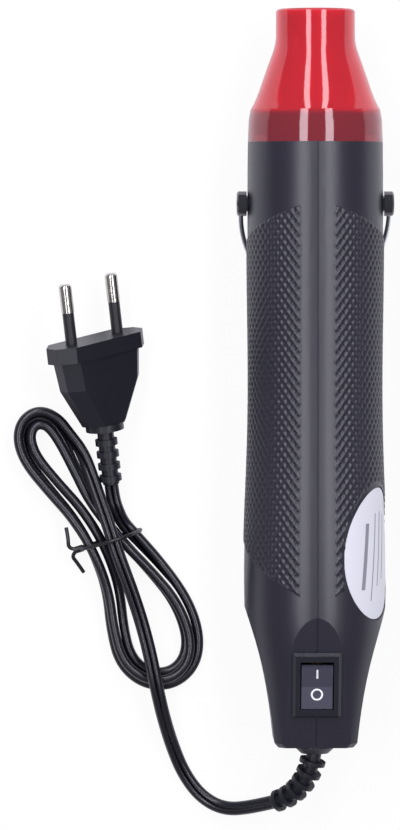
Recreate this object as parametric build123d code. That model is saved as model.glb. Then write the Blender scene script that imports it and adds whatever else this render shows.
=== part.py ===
"""Embossing heat tool: a pocket hot air tool with its tied cord and plug.

The tool lies on a table. +Y points from the tail to the nozzle, +X to the right seen from above, +Z up.
The origin is under the middle of the tool, on the table. Millimetres.
"""

import math
import os

from build123d import *

# Driving dimensions of the tool
TOOL_LENGTH = 228.0
BULGE_R = 22.0
GUARD_LENGTH = 41.0
TAIL_LENGTH = 45.0
WALL = 2.0
OUTLET_R = 12.25
CORD_DIA = 3.4
PIN_R = 2.0

# Places along the tool, from its length
TIP_Y = TOOL_LENGTH / 2
TAIL_Y = -TOOL_LENGTH / 2
FRONT_Y = TIP_Y - GUARD_LENGTH
TAPER_Y = TAIL_Y + TAIL_LENGTH
AXIS_Z = BULGE_R

# Clearances and cutting tools
RUN_GAP = 0.05
SLIP_GAP = 0.1
SEAT_GAP = 0.3
OVERRUN = 30.0
CUT_MARGIN = 1.0

# Body outline: share of the barrel's length from the front, share of the bulge radius
BARREL_SHARES = (
    (0.0, 0.950),
    (0.134, 0.955),
    (0.345, 0.946),
    (0.50, 0.934),
    (0.67, 0.948),
    (0.81, 0.983),
    (0.92, 1.0),
    (1.0, 0.997),
)
# Tail outline: share of the tail's length, half width share, corner radius share of the bulge radius
TAIL_SHARES = (
    (-0.067, 1.068, 0.992),
    (0.044, 0.995, 0.994),
    (0.282, 0.841, 0.96),
    (0.509, 0.723, 0.873),
    (0.758, 0.634, 0.795),
    (0.969, 0.582, 0.741),
)
PANEL_TILT = 13.5
PANEL_TOP_FROM_TAIL = 38.0
PANEL_TOP_SHARE = 0.959
END_CHAMFER = 1.2
TAIL_WALL = 2.4
FRONT_WALL = 2.2
SEAM_WIDTH = 0.5
SEAM_DEPTH = 0.4

# Neck that carries the guard and the outlet tube
NECK_R = 15.3
NECK_BORE_R = 12.0
NECK_LENGTH = 10.5

# Guard
GUARD_WALL = 1.6
GUARD_MOUTH_LENGTH = 8.0
GUARD_BAND = 10.0
GUARD_BAND_R = 20.1
GUARD_EDGE = 0.6
GUARD_WEB = 2.0
GUARD_THROAT_SHARES = ((0.30, 0.20), (0.64, 0.55))
GUARD_FLARE_SHARE = 0.62
GUARD_SHOULDER_SHARE = 0.7

# Shell screws, with their places as a share of the tool's length and of the bulge radius below the axis
BOSS_R = 2.8
SCREW_R = 1.1
SCREW_HEAD_R = 2.2
SCREW_HEAD = 1.8
SCREW_LENGTH = 14.0
SCREW_SEAT_X = 7.0
SCREW_PLACE_SHARES = ((0.2895, 0.6818), (-0.1053, 0.7227), (-0.2895, 0.6909), (-0.3772, 0.5))

# Air intake slots on the back of the tail side
VENT_COUNT = 5
VENT_WIDTH = 2.0
VENT_PITCH = 5.0
VENT_FIRST_SHARE = -0.16
VENT_LOW_SHARE = 0.70
VENT_HIGH_SHARE = 0.25

# Studs and bail
STUD_FROM_TIP = 60.0
STUD_HEAD_R = 3.85
STUD_HEAD = 3.0
STUD_DOME = 0.45
STUD_SHANK_R = 2.5
STUD_NECK_R = 1.9
STUD_END = 0.8
CLIP_R = 3.6
CLIP_THICK = 0.5
WIRE_R = 0.75
BAIL_HALF_WIDTH = 23.0
BAIL_DEPTH = 35.0
BAIL_SIDE_R = 45.0
BAIL_LEG = 4.2
BAIL_FLOOR_GAP = 0.05
STUD_Y = TIP_Y - STUD_FROM_TIP

# Label
LABEL_LENGTH = 40.5
LABEL_WIDTH = 26.4
LABEL_ANGLE = 60.0
LABEL_LEAN = 6.0
LABEL_FROM_TAIL = 60.2
LABEL_THICK = 0.15
LABEL_RECESS = 0.3
LABEL_BORDER = 0.5

# Rocker switch
SWITCH_FROM_TAIL = 20.3
BEZEL_WIDTH = 15.0
BEZEL_LENGTH = 21.0
BEZEL_THICK = 1.8
BEZEL_CHAMFER = 0.9
ROCKER_WIDTH = 9.6
ROCKER_LENGTH = 14.0
ROCKER_GAP = 0.35
ROCKER_END_GAP = 0.7
ROCKER_RISE = 2.3
ROCKER_DIP = 1.1
ROCKER_PIVOT_DEPTH = 2.2
ROCKER_SKIRT = 2.4
ROCKER_KEEL = 2.6
ROCKER_KEEL_WIDTH = 5.0
ROCKER_TILT = 8.0
PLUNGER_R = 0.9
TRUNNION_R = 1.0
SWITCH_BODY_WIDTH = 12.9
SWITCH_BODY_LENGTH = 18.3
SWITCH_BODY_DEPTH = 13.0
SWITCH_FLOOR = 2.0
CONTACT_RISE = 4.0
CONTACT_DEPTH = SWITCH_BODY_DEPTH - CONTACT_RISE
CONTACT_LENGTH = 8.4
CONTACT_WIDTH = 4.0
CONTACT_THICK = 0.6
CONTACT_PIVOT_R = 0.45
CONTACT_TILT = 5.0
TAB_WIDTH = 4.8
TAB_THICK = 0.8
TAB_REACH = 7.0
TAB_OFFSET = 4.2

# Motor and fan
MOTOR_R = 12.2
MOTOR_LENGTH = 27.0
MOTOR_FRONT_Y = -10.0
CAN_WALL = 1.0
CAN_FACE = 2.5
CAP_THICK = 2.5
MAGNET_THICK = 1.9
MAGNET_HALF_ANGLE = 60.0
ARMATURE_R = 8.8
ARMATURE_LENGTH = 15.0
SHAFT_R = 1.0
SHAFT_FRONT = 12.5
SHAFT_BACK = 1.0
MOUNT_THICK = 2.0
MOUNT_RIM = 1.8
MOUNT_ARM = 5.0
MOUNT_HUB_R = 11.0
MOUNT_BORE_R = 3.4
MOTOR_NOSE_R = 3.2
MOTOR_NOSE = 1.2
MOTOR_SCREW_R = 1.2
MOTOR_SCREW_HEAD_R = 2.1
MOTOR_SCREW_HEAD = 1.2
MOTOR_SCREW_CIRCLE_R = 7.5
FAN_R = 17.2
FAN_HUB_R = 6.0
FAN_LENGTH = 9.0
FAN_CLEAR = 2.2
FAN_BLADES = 7
FAN_BLADE_THICK = 1.1
FAN_BLADE_CHORD = 10.5
FAN_BLADE_PITCH = 38.0
BOARD_R = 11.0
BOARD_THICK = 1.4
BOARD_STANDOFF = 3.6
TERMINAL_WIDTH = 2.0
TERMINAL_THICK = 0.5
TERMINAL_OFFSET = 7.0
DIODE_R = 1.35
DIODE_LENGTH = 5.0
DIODE_COUNT = 4
DIODE_SPACING = 3.75

# Air path and heater
TUBE_R = 10.4
TUBE_WALL = 0.5
TUBE_RECESS = 1.6
FUNNEL_BACK_Y = 5.5
FUNNEL_LENGTH = 25.0
FUNNEL_WALL = 1.0
FUNNEL_COLLAR = 5.0
RING_LENGTH = 5.0
MICA_THICK = 0.8
MICA_HALF_WIDTH = 8.6
MICA_BACK_GAP = 4.0
MICA_LENGTH = 66.0
COIL_WIRE_R = 0.3
COIL_PITCH = 4.5
COIL_TURNS = 12
SLEEVE_THICK = 0.35
SLEEVE_MARGIN = 3.0
THERMOSTAT_WIDTH = 2.6
THERMOSTAT_LENGTH = 9.0
THERMOSTAT_HEIGHT = 3.0
FUSE_R = 1.5
FUSE_LENGTH = 9.0

# Cord clamp inside the tail
CLAMP_FROM_TAIL = 9.0
CLAMP_HALF_LENGTH = 7.5
CLAMP_WIDTH = 4.4
CLAMP_THICK = 2.0
CLAMP_POST_R = 1.9
CLAMP_POST_OFFSET = 5.2
CLAMP_SCREW_R = 0.9
CLAMP_SCREW_HEAD_R = 1.7
CLAMP_SCREW_HEAD = 1.2
CLAMP_SCREW_REACH = 6.0
WIRE_LEAD_R = 0.9
WIRE_DROP = 6.1
WIRE_SPREAD = 7.0

# Strain relief
BOOT_NECK_R = 4.0
BOOT_FLANGE_R = 5.6
BOOT_FLANGE = 1.6
BOOT_COLLAR_R = 6.25
BOOT_COLLAR = 2.8
BOOT_CORE_R = 2.3
BOOT_BEND_R = 19.7
BOOT_BEND = 74.3
BOOT_DROP = 33.7
BOOT_RIBS = 6
BOOT_RIB_THICK = 1.3
BOOT_RIB_FIRST_SHARE = 0.22
BOOT_RIB_LAST_SHARE = 0.95
BOOT_RIB_FIRST_R = 4.1
BOOT_RIB_LAST_R = 3.5

# Route of the cord from the strain relief to the hank, chosen by hand
LEAD_POINTS = (
    (-27.8, -136.7, 4.5),
    (-35.1, -133.0, 2.1),
    (-40.6, -125.6, 1.8),
    (-44.2, -116.6, 3.8),
    (-47.0, -107.1, 7.6),
    (-49.2, -97.3, 10.3),
    (-51.2, -87.0, 10.3),
    (-53.9, -76.6, 10.1),
    (-57.4, -66.0, 11.2),
    (-61.3, -55.6, 12.2),
    (-64.4, -45.6, 11.3),
    (-67.9, -36.0, 9.2),
    (-71.0, -27.0, 6.9),
)
LEAD_FIRST_RUN = 9.0
LEAD_LAST_RUN = 5.0
# Outline of the outermost loop of the hank, seen from above, against the clock from the waist's right side
HANK_LOOP_POINTS = (
    (-56.9, -49.2),
    (-66.0, -38.2),
    (-71.3, -27.0),
    (-75.6, -18.2),
    (-79.9, -11.8),
    (-86.6, -9.4),
    (-92.6, -13.2),
    (-94.3, -20.2),
    (-91.6, -28.2),
    (-84.6, -37.0),
    (-76.8, -46.0),
    (-70.6, -56.2),
    (-66.4, -68.0),
    (-65.0, -80.4),
    (-62.0, -91.6),
    (-53.6, -98.6),
    (-43.2, -98.6),
    (-35.8, -91.6),
    (-34.8, -81.0),
    (-39.6, -68.8),
    (-48.0, -58.6),
)
HANK_TURNS = 3
HANK_START = 3
HANK_WAIST_LEFT = 11
HANK_PITCH = 4.05
HANK_RISE = 3.85
TIE_LIFT = 2.0
# Route from the hank to the plug, chosen by hand
TAIL_MIDDLE = (-61.7, -41.6, 6.6)
TAIL_FIRST_RUN = 4.2
TAIL_LAST_RUN = 4.2
ARC_SHARE = 0.45

# Twist tie, in a plane across the waist: place across and height
TIE_WIRE_R = 0.6
TIE_CENTRE = (-63.6, -51.3)
TIE_ACROSS = (0.955, 0.295)
TIE_LOOP_POINTS = (
    (-9.6, 5.6),
    (-9.4, 9.6),
    (-4.2, 13.9),
    (1.6, 15.9),
    (6.2, 13.2),
    (9.9, 7.0),
    (9.9, 0.65),
    (-9.6, 0.65),
    (-9.6, 4.4),
)
TIE_TWIST_R = 1.1
TIE_TWIST = 3.2
TIE_END_ONE = ((-13.4, 5.6, 1.2), (-12.6, 6.2, 4.2), (-12.2, 5.2, 7.6))
TIE_END_TWO = ((-13.2, 4.4, -1.4), (-12.2, 3.2, -4.2), (-11.2, 1.9, -7.6))

# Plug
PLUG_FACE = (-68.45, 12.1)
PLUG_YAW = 6.4
PLUG_PITCH = 8.5
PLUG_ROLL = 39.0
PLUG_WIDTH = 35.3
PLUG_THICK = 13.7
PLUG_FLAT = 26.1
PLUG_FLANGE = 5.0
PLUG_BODY_SHARES = ((0.0, 0.89, 0.905), (0.42, 0.816, 0.876), (1.0, 0.42, 0.80))
PLUG_BODY = 22.0
PLUG_COLLAR_R = 6.0
PLUG_COLLAR = 2.2
PLUG_BOOT = 17.3
PLUG_BOOT_CORE_R = 2.6
PLUG_BOOT_RIB_R = 3.5
PLUG_BOOT_RIB_THICK = 1.9
PLUG_BOOT_RIBS = 4
PIN_LENGTH = 19.0
PIN_SPACING = 18.6
PIN_ROOT = 6.0
PIN_TIP = 9.0
PIN_NECK_R = 1.45
PIN_ROOT_R = 1.7
PIN_NOSE_SHARE = 0.6
SLEEVE_STEP = 0.2
SLEEVE_GAP = 0.01


def across(y, dx=0.0, dz=0.0):
    """Plane square to the tool's axis at place y, facing the nozzle."""
    return Plane(origin=(dx, y, AXIS_Z + dz), x_dir=(1, 0, 0), z_dir=(0, 1, 0))


def along_y(radius, y_from, y_to, dx=0.0, dz=0.0):
    """Round bar along the tool."""
    return extrude(across(y_from, dx, dz) * Circle(radius), amount=y_to - y_from)


def along_x(radius, x_from, x_to, y, dz=0.0):
    """Round bar across the tool."""
    plane = Plane(origin=(x_from, y, AXIS_Z + dz), x_dir=(0, 1, 0), z_dir=(1, 0, 0))
    return extrude(plane * Circle(radius), amount=x_to - x_from)


def turned(points):
    """Solid of revolution about the tool's axis from (radius, y) points."""
    profile = make_face(Polyline(*[(r, y) for r, y in points], close=True))
    return Pos(0, 0, AXIS_Z) * revolve(profile, Axis.Y)


def slab(y_from, y_to):
    """Block that holds all of the tool between two places."""
    size = 2 * (BULGE_R + OVERRUN)
    return Pos(0, (y_from + y_to) / 2, AXIS_Z) * Box(size, y_to - y_from, size)


def side_block(side):
    """Block on one side of the seam."""
    size = 2 * (BULGE_R + OVERRUN)
    return Pos(side * size / 2, 0, AXIS_Z) * Box(size, TOOL_LENGTH + OVERRUN, size)


def panel_height(y):
    """Height of the flat switch panel above the axis at place y."""
    top_y = TAIL_Y + PANEL_TOP_FROM_TAIL
    return PANEL_TOP_SHARE * BULGE_R - (top_y - y) * math.tan(math.radians(PANEL_TILT))


def barrel_rows():
    """Place and radius of the round barrel's sections."""
    return [(FRONT_Y + share * (TAPER_Y - FRONT_Y), size * BULGE_R) for share, size in BARREL_SHARES]


def tail_rows():
    """Place, half width and corner radius of the tail's sections."""
    return [(TAPER_Y - share * TAIL_LENGTH, half * BULGE_R, corner * BULGE_R) for share, half, corner in TAIL_SHARES]


def half_width(y):
    """Radius of the barrel at place y, between its sections."""
    rows = barrel_rows()
    for (y_a, a), (y_b, b) in zip(rows, rows[1:]):
        if y_b <= y <= y_a:
            return a + (b - a) * (y_a - y) / (y_a - y_b)
    return rows[-1][1]


def panel_plane(depth=0.0):
    """Plane of the flat panel at the switch's centre, facing out, sunk by depth."""
    y = TAIL_Y + SWITCH_FROM_TAIL
    tilt = math.radians(PANEL_TILT)
    out = (0, -math.sin(tilt), math.cos(tilt))
    height = AXIS_Z + panel_height(y)
    origin = (0, y + depth * math.sin(tilt), height - depth * math.cos(tilt))
    return Plane(origin=origin, x_dir=(1, 0, 0), z_dir=out)


def envelope(inset):
    """Outer form of the body, drawn in by inset: a round barrel with a tapered tail and a flat panel."""
    end = TAIL_Y + inset
    rows = [(r - inset, y) for y, r in barrel_rows()]
    corners = [(corner - inset, y) for y, _, corner in tail_rows() if y < TAPER_Y - END_CHAMFER]
    profile = Spline(*rows, *corners[1:]).edge()
    last = corners[-1]
    rest = Polyline(last, (last[0] - END_CHAMFER, end), (0, end), (0, FRONT_Y), rows[0])
    form = Pos(0, 0, AXIS_Z) * revolve(make_face(Wire([profile, *rest.edges()])), Axis.Y)
    sides = [(half - inset, y) for y, half, _ in tail_rows()]
    narrow = (sides[-1][0] - END_CHAMFER, end)
    wide = sides[0]
    side = Spline(*sides).edge()
    mirrored = Spline(*[(-x, y) for x, y in sides]).edge()
    loop = [
        side, *Polyline(sides[-1], narrow, (-narrow[0], end), (-sides[-1][0], sides[-1][1])).edges(), mirrored,
        *Polyline((-wide[0], wide[1]), (-wide[0], TIP_Y), (wide[0], TIP_Y), wide).edges(),
    ]
    plan = make_face(Wire(loop))
    form &= extrude(plan, amount=2 * BULGE_R + OVERRUN)
    back = Plane(origin=(0, 0, AXIS_Z), x_dir=(0, 0, -1), z_dir=(1, 0, 0))
    loop = [
        side, *Polyline(sides[-1], narrow, (-2 * BULGE_R, end), (-2 * BULGE_R, TIP_Y), (wide[0], TIP_Y), wide).edges(),
    ]
    form &= extrude(back * make_face(Wire(loop)), amount=BULGE_R + OVERRUN, both=True)
    size = TOOL_LENGTH
    return form - panel_plane(inset) * Pos(0, 0, size / 2) * Box(size, size, size)


def screw_places():
    """Place along the tool and depth below the axis of each shell screw."""
    return [(y * TOOL_LENGTH, -d * BULGE_R) for y, d in SCREW_PLACE_SHARES]


def shell_blank():
    """Hollow body with its neck, bosses and openings, before it is split."""
    outside = envelope(0)
    cavity = envelope(WALL) & slab(TAIL_Y + TAIL_WALL, FRONT_Y - FRONT_WALL)
    body = outside - cavity
    lining = envelope(WALL / 2)
    for y, dz in screw_places():
        body += along_x(BOSS_R, -BULGE_R, BULGE_R, y, dz) & lining
    neck = along_y(NECK_R, FRONT_Y - FRONT_WALL, FRONT_Y + NECK_LENGTH)
    body += neck
    body -= along_y(NECK_BORE_R, FRONT_Y - FRONT_WALL - CUT_MARGIN, FRONT_Y + NECK_LENGTH + CUT_MARGIN)
    body -= along_y(BOOT_NECK_R + SLIP_GAP, TAIL_Y - CUT_MARGIN, TAIL_Y + TAIL_WALL + CUT_MARGIN)
    body -= along_x(STUD_SHANK_R + RUN_GAP, -BULGE_R - CUT_MARGIN, BULGE_R + CUT_MARGIN, STUD_Y)
    window = Box(SWITCH_BODY_WIDTH + 2 * SLIP_GAP, SWITCH_BODY_LENGTH + 2 * SLIP_GAP, 4 * WALL)
    body -= panel_plane(WALL / 2) * window
    seam = envelope(-CUT_MARGIN) - envelope(SEAM_DEPTH)
    body -= seam & (Pos(0, 0, AXIS_Z) * Box(SEAM_WIDTH, TOOL_LENGTH, 2 * BULGE_R + OVERRUN))
    for k in range(VENT_COUNT):
        y = VENT_FIRST_SHARE * TOOL_LENGTH - k * VENT_PITCH
        low, high = -VENT_LOW_SHARE * BULGE_R, -VENT_HIGH_SHARE * BULGE_R
        slot = Box(2 * (BULGE_R + CUT_MARGIN), VENT_WIDTH, high - low)
        core = Box(BULGE_R, VENT_WIDTH + CUT_MARGIN, 2 * BULGE_R)
        body -= Pos(0, y, AXIS_Z + (low + high) / 2) * (slot - core)
    groove = sweep(Plane(origin=bail_path() @ 0, z_dir=bail_path() % 0) * Circle(WIRE_R + SEAT_GAP), bail_path())
    return body - groove


def label_block(border):
    """Oval prism that stands on the right side of the bulge, leaning as the label does."""
    angle = math.radians(LABEL_ANGLE)
    out = Vector(math.sin(angle), 0, math.cos(angle))
    lean = math.radians(LABEL_LEAN)
    side = Vector(math.cos(angle), 0, -math.sin(angle))
    major = Vector(0, 1, 0) * math.cos(lean) + side * math.sin(lean)
    plane = Plane(origin=(0, TAIL_Y + LABEL_FROM_TAIL, AXIS_Z), x_dir=major, z_dir=out)
    return extrude(plane * Ellipse(LABEL_LENGTH / 2 + border, LABEL_WIDTH / 2 + border), amount=2 * BULGE_R)


def shells():
    """The two body halves."""
    blank = shell_blank()
    left = blank & side_block(-1)
    right = blank & side_block(1)
    for y, dz in screw_places():
        left -= along_x(SCREW_R + SLIP_GAP, -SCREW_SEAT_X - CUT_MARGIN, 0, y, dz)
        left -= along_x(SCREW_HEAD_R + SLIP_GAP, -BULGE_R - CUT_MARGIN, -SCREW_SEAT_X, y, dz)
        right -= along_x(SCREW_R + RUN_GAP, 0, SCREW_LENGTH - SCREW_SEAT_X + CUT_MARGIN, y, dz)
    right -= label_block(LABEL_BORDER) - envelope(LABEL_RECESS)
    y = TAIL_Y + CLAMP_FROM_TAIL
    for dz in (-CLAMP_POST_OFFSET, CLAMP_POST_OFFSET):
        face = -CORD_DIA / 2 - RUN_GAP
        post = along_x(CLAMP_POST_R, face, BULGE_R, y, dz) & envelope(WALL / 2)
        right += post - along_x(CLAMP_SCREW_R + RUN_GAP, face, CLAMP_SCREW_REACH, y, dz)
    return left, right


def shell_screws():
    """Screws that join the halves from the left."""
    found = []
    for y, dz in screw_places():
        head = along_x(SCREW_HEAD_R, -SCREW_SEAT_X - SCREW_HEAD, -SCREW_SEAT_X, y, dz)
        shank = along_x(SCREW_R, -SCREW_SEAT_X, SCREW_LENGTH - SCREW_SEAT_X, y, dz)
        slot = Box(SCREW_HEAD, SCREW_HEAD_R * 2, SCREW_R / 2)
        slot = Pos(-SCREW_SEAT_X - SCREW_HEAD, y, AXIS_Z + dz) * slot
        found.append(head + shank - slot)
    return found


def rating_label():
    """Thin oval label in the recess."""
    outside = label_block(0) - envelope(LABEL_RECESS)
    return outside - (label_block(LABEL_BORDER) - envelope(LABEL_RECESS - LABEL_THICK))


def nozzle_guard():
    """Flared guard: straight mouth, throat that opens to a band, and a web that seats on the body."""
    base_r = BARREL_SHARES[0][1] * BULGE_R
    band_y = FRONT_Y + GUARD_BAND
    mouth_y = TIP_Y - GUARD_MOUTH_LENGTH
    throat = []
    for along, out in GUARD_THROAT_SHARES:
        throat.append((
            OUTLET_R + out * (GUARD_BAND_R - OUTLET_R),
            mouth_y + along * (band_y - mouth_y),
        ))
    outer = [(OUTLET_R - GUARD_EDGE, TIP_Y), (OUTLET_R, TIP_Y - GUARD_EDGE), (OUTLET_R, mouth_y)]
    curve = Spline(
        (OUTLET_R, mouth_y), *throat, (GUARD_BAND_R, band_y),
        tangents=[(0, -1), (GUARD_FLARE_SHARE, -1)],
    )
    rise = (base_r - GUARD_BAND_R) * GUARD_SHOULDER_SHARE
    outline = Polyline(*outer) + curve + Polyline(
        (GUARD_BAND_R, band_y), (GUARD_BAND_R + rise, band_y - GUARD_BAND / 3), (base_r, FRONT_Y),
        (NECK_R + SLIP_GAP, FRONT_Y), (NECK_R + SLIP_GAP, FRONT_Y + GUARD_WEB),
        (base_r - GUARD_WALL, FRONT_Y + GUARD_WEB), (GUARD_BAND_R + rise - GUARD_WALL, band_y - GUARD_BAND / 3),
        (GUARD_BAND_R - GUARD_WALL, band_y - GUARD_WALL / 2),
    )
    inner_throat = [(r - GUARD_WALL, y - GUARD_WALL / 2) for r, y in throat]
    inner = Spline(
        (GUARD_BAND_R - GUARD_WALL, band_y - GUARD_WALL / 2), *reversed(inner_throat),
        (OUTLET_R - GUARD_WALL, mouth_y - GUARD_WALL / 2),
        tangents=[(-GUARD_FLARE_SHARE, 1), (0, 1)],
    )
    closing = Polyline(
        (OUTLET_R - GUARD_WALL, mouth_y - GUARD_WALL / 2), (OUTLET_R - GUARD_WALL, TIP_Y),
        (OUTLET_R - GUARD_EDGE, TIP_Y),
    )
    face = make_face(outline + inner + closing)
    return Pos(0, 0, AXIS_Z) * revolve(face, Axis.Y)


def bail_angle():
    """Angle of the folded bail below the tool's axis, so that its crown rests just over the table."""
    return math.asin((AXIS_Z - WIRE_R - BAIL_FLOOR_GAP) / BAIL_DEPTH)


def bail_plane():
    """Plane of the folded bail: x across the tool, y away from the studs."""
    a = bail_angle()
    away = Vector(0, -math.cos(a), -math.sin(a))
    return Plane(origin=(0, STUD_Y, AXIS_Z), x_dir=(1, 0, 0), z_dir=Vector(1, 0, 0).cross(away))


def bail_path():
    """Three centred arch between two straight legs."""
    reach = BAIL_DEPTH - BAIL_LEG
    side_r, half = BAIL_SIDE_R, BAIL_HALF_WIDTH
    crown_r = (side_r**2 - (side_r - half) ** 2 - reach**2) / (2 * (side_r - reach))
    side_x, crown_y = side_r - half, BAIL_DEPTH - crown_r
    length = math.hypot(side_x, crown_y - BAIL_LEG)
    ux, uy = side_x / length, (crown_y - BAIL_LEG) / length
    joint = (-side_x + side_r * ux, BAIL_LEG + side_r * uy)
    turn = math.atan2(uy, ux) / 2
    middle = (-side_x + side_r * math.cos(turn), BAIL_LEG + side_r * math.sin(turn))
    start = STUD_HEAD_R / 4
    right = Line((half, start), (half, BAIL_LEG))
    right_arc = ThreePointArc((half, BAIL_LEG), middle, joint)
    crown = ThreePointArc(joint, (0, BAIL_DEPTH), (-joint[0], joint[1]))
    left_arc = ThreePointArc((-joint[0], joint[1]), (-middle[0], middle[1]), (-half, BAIL_LEG))
    left = Line((-half, BAIL_LEG), (-half, start))
    return bail_plane() * Wire([right.edge(), right_arc.edge(), crown.edge(), left_arc.edge(), left.edge()])


def bail_wire():
    """Round wire loop."""
    path = bail_path()
    return sweep(Plane(origin=path @ 0, z_dir=path % 0) * Circle(WIRE_R), path)


def pivot_stud(side):
    """Knob that holds one end of the bail and turns in the shell."""
    seat = half_width(STUD_Y) + SEAT_GAP
    top = seat + STUD_HEAD
    inner = half_width(STUD_Y) - WALL - SEAT_GAP
    clip_r = CLIP_R
    wall_drop = inner - math.sqrt(inner**2 - clip_r**2)
    groove_top = inner - wall_drop
    groove_low = groove_top - CLIP_THICK - 2 * RUN_GAP
    points = [
        (0, groove_low - STUD_END), (STUD_SHANK_R, groove_low - STUD_END), (STUD_SHANK_R, groove_low),
        (STUD_NECK_R, groove_low), (STUD_NECK_R, groove_top), (STUD_SHANK_R, groove_top),
        (STUD_SHANK_R, seat), (STUD_HEAD_R, seat), (STUD_HEAD_R, top - STUD_DOME),
        (STUD_HEAD_R - STUD_DOME, top), (0, top + STUD_DOME / 2),
    ]
    profile = make_face(Polyline(*points, close=True))
    plane = Plane(origin=(0, STUD_Y, AXIS_Z), x_dir=(0, 1, 0), z_dir=(0, 0, 1) if side < 0 else (0, 0, -1))
    stud = revolve(plane * profile, Axis((0, STUD_Y, AXIS_Z), (1, 0, 0)))
    leg = bail_plane()
    hole_from = leg.from_local_coords(Vector(side * BAIL_HALF_WIDTH, STUD_HEAD_R / 4, 0))
    away = leg.from_local_coords(Vector(side * BAIL_HALF_WIDTH, 2 * STUD_HEAD_R, 0)) - hole_from
    hole = extrude(Plane(origin=hole_from, z_dir=away) * Circle(WIRE_R + RUN_GAP), amount=2 * STUD_HEAD_R)
    return stud - hole, groove_low + RUN_GAP


def stud_clip(side, x_low):
    """Open ring in the stud's groove."""
    x_from, x_to = sorted((side * x_low, side * (x_low + CLIP_THICK)))
    ring = along_x(CLIP_R, x_from, x_to, STUD_Y) - along_x(STUD_NECK_R + RUN_GAP, x_from, x_to, STUD_Y)
    gap = Box(2 * BULGE_R, 2 * CLIP_R, STUD_NECK_R)
    return ring - Pos(side * BULGE_R, STUD_Y + CLIP_R, AXIS_Z) * gap


def on_panel(x, along, depth):
    """Location in the switch's frame: across, along the panel, and depth below its face."""
    return Location(panel_plane()) * Pos(x, along, -depth)


def switch_housing():
    """Bezel and body with the rocker's pocket, trunnion holes and tab slots."""
    bezel = Pos(0, 0, BEZEL_THICK / 2) * Box(BEZEL_WIDTH, BEZEL_LENGTH, BEZEL_THICK)
    bezel = chamfer(bezel.edges().filter_by(Plane.XY).group_by(Axis.Z)[-1], BEZEL_CHAMFER)
    body = Pos(0, 0, -SWITCH_BODY_DEPTH / 2) * Box(SWITCH_BODY_WIDTH, SWITCH_BODY_LENGTH, SWITCH_BODY_DEPTH)
    width, length = ROCKER_WIDTH + 2 * ROCKER_GAP, ROCKER_LENGTH + 2 * ROCKER_END_GAP
    depth = SWITCH_BODY_DEPTH - SWITCH_FLOOR
    pocket = Pos(0, 0, (BEZEL_THICK + CUT_MARGIN - depth) / 2) * Box(width, length, BEZEL_THICK + CUT_MARGIN + depth)
    pins = Pos(0, 0, -ROCKER_PIVOT_DEPTH) * Rot(0, 90, 0) * Cylinder(TRUNNION_R + RUN_GAP, trunnion_span() + SLIP_GAP)
    housing = bezel + body - pocket - pins
    for along in tab_places():
        slot = Box(TAB_WIDTH + 2 * RUN_GAP, TAB_THICK + 2 * RUN_GAP, SWITCH_BODY_DEPTH)
        housing -= Pos(0, along, -SWITCH_BODY_DEPTH) * slot
    return Location(panel_plane()) * housing


def trunnion_span():
    """Length of the rocker's axle across both trunnions."""
    return (ROCKER_WIDTH + 2 * ROCKER_GAP + SWITCH_BODY_WIDTH) / 2


def tab_places():
    """Places of the centre and end tabs along the switch."""
    return (0.0, -TAB_OFFSET)


def switch_rocker():
    """Rocker with a dished top, trunnions and a plunger, tipped to off."""
    half = ROCKER_LENGTH / 2
    points = [
        (-half, ROCKER_RISE), (0, ROCKER_DIP), (half, ROCKER_RISE), (half, ROCKER_RISE - ROCKER_SKIRT),
        (ROCKER_KEEL_WIDTH / 2, -ROCKER_PIVOT_DEPTH - ROCKER_KEEL),
        (-ROCKER_KEEL_WIDTH / 2, -ROCKER_PIVOT_DEPTH - ROCKER_KEEL), (-half, ROCKER_RISE - ROCKER_SKIRT),
    ]
    profile = make_face(Polyline(*points, close=True))
    block = extrude(Plane.YZ * profile, amount=ROCKER_WIDTH / 2, both=True)
    axle = Pos(0, 0, -ROCKER_PIVOT_DEPTH) * Rot(0, 90, 0) * Cylinder(TRUNNION_R, trunnion_span())
    top = -ROCKER_PIVOT_DEPTH - ROCKER_KEEL
    reach = CONTACT_DEPTH - CONTACT_THICK / 2 - SEAT_GAP + top
    plunger = Pos(0, 0, top - reach / 2) * Cylinder(PLUNGER_R, reach)
    rocker = block + axle + plunger
    turn = Pos(0, 0, -ROCKER_PIVOT_DEPTH) * Rot(ROCKER_TILT, 0, 0) * Pos(0, 0, ROCKER_PIVOT_DEPTH)
    return Location(panel_plane()) * turn * rocker


def switch_contact():
    """See-saw plate with a round pivot rib under the plunger, tipped to off."""
    plate = Box(CONTACT_WIDTH, CONTACT_LENGTH, CONTACT_THICK)
    plate += Rot(0, 90, 0) * Cylinder(CONTACT_PIVOT_R, CONTACT_WIDTH)
    return on_panel(0, 0, CONTACT_DEPTH) * Rot(-CONTACT_TILT, 0, 0) * plate


def switch_terminals():
    """Tabs through the floor of the switch."""
    found = []
    bottom = SWITCH_BODY_DEPTH + TAB_REACH
    drop = CONTACT_LENGTH / 2 * math.sin(math.radians(CONTACT_TILT))
    for along in tab_places():
        top = CONTACT_DEPTH + SLIP_GAP + (CONTACT_THICK / 2 + drop + RUN_GAP if along else CONTACT_PIVOT_R)
        tab = Box(TAB_WIDTH, TAB_THICK, bottom - top)
        found.append(on_panel(0, along, (top + bottom) / 2) * tab)
    return found


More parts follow.
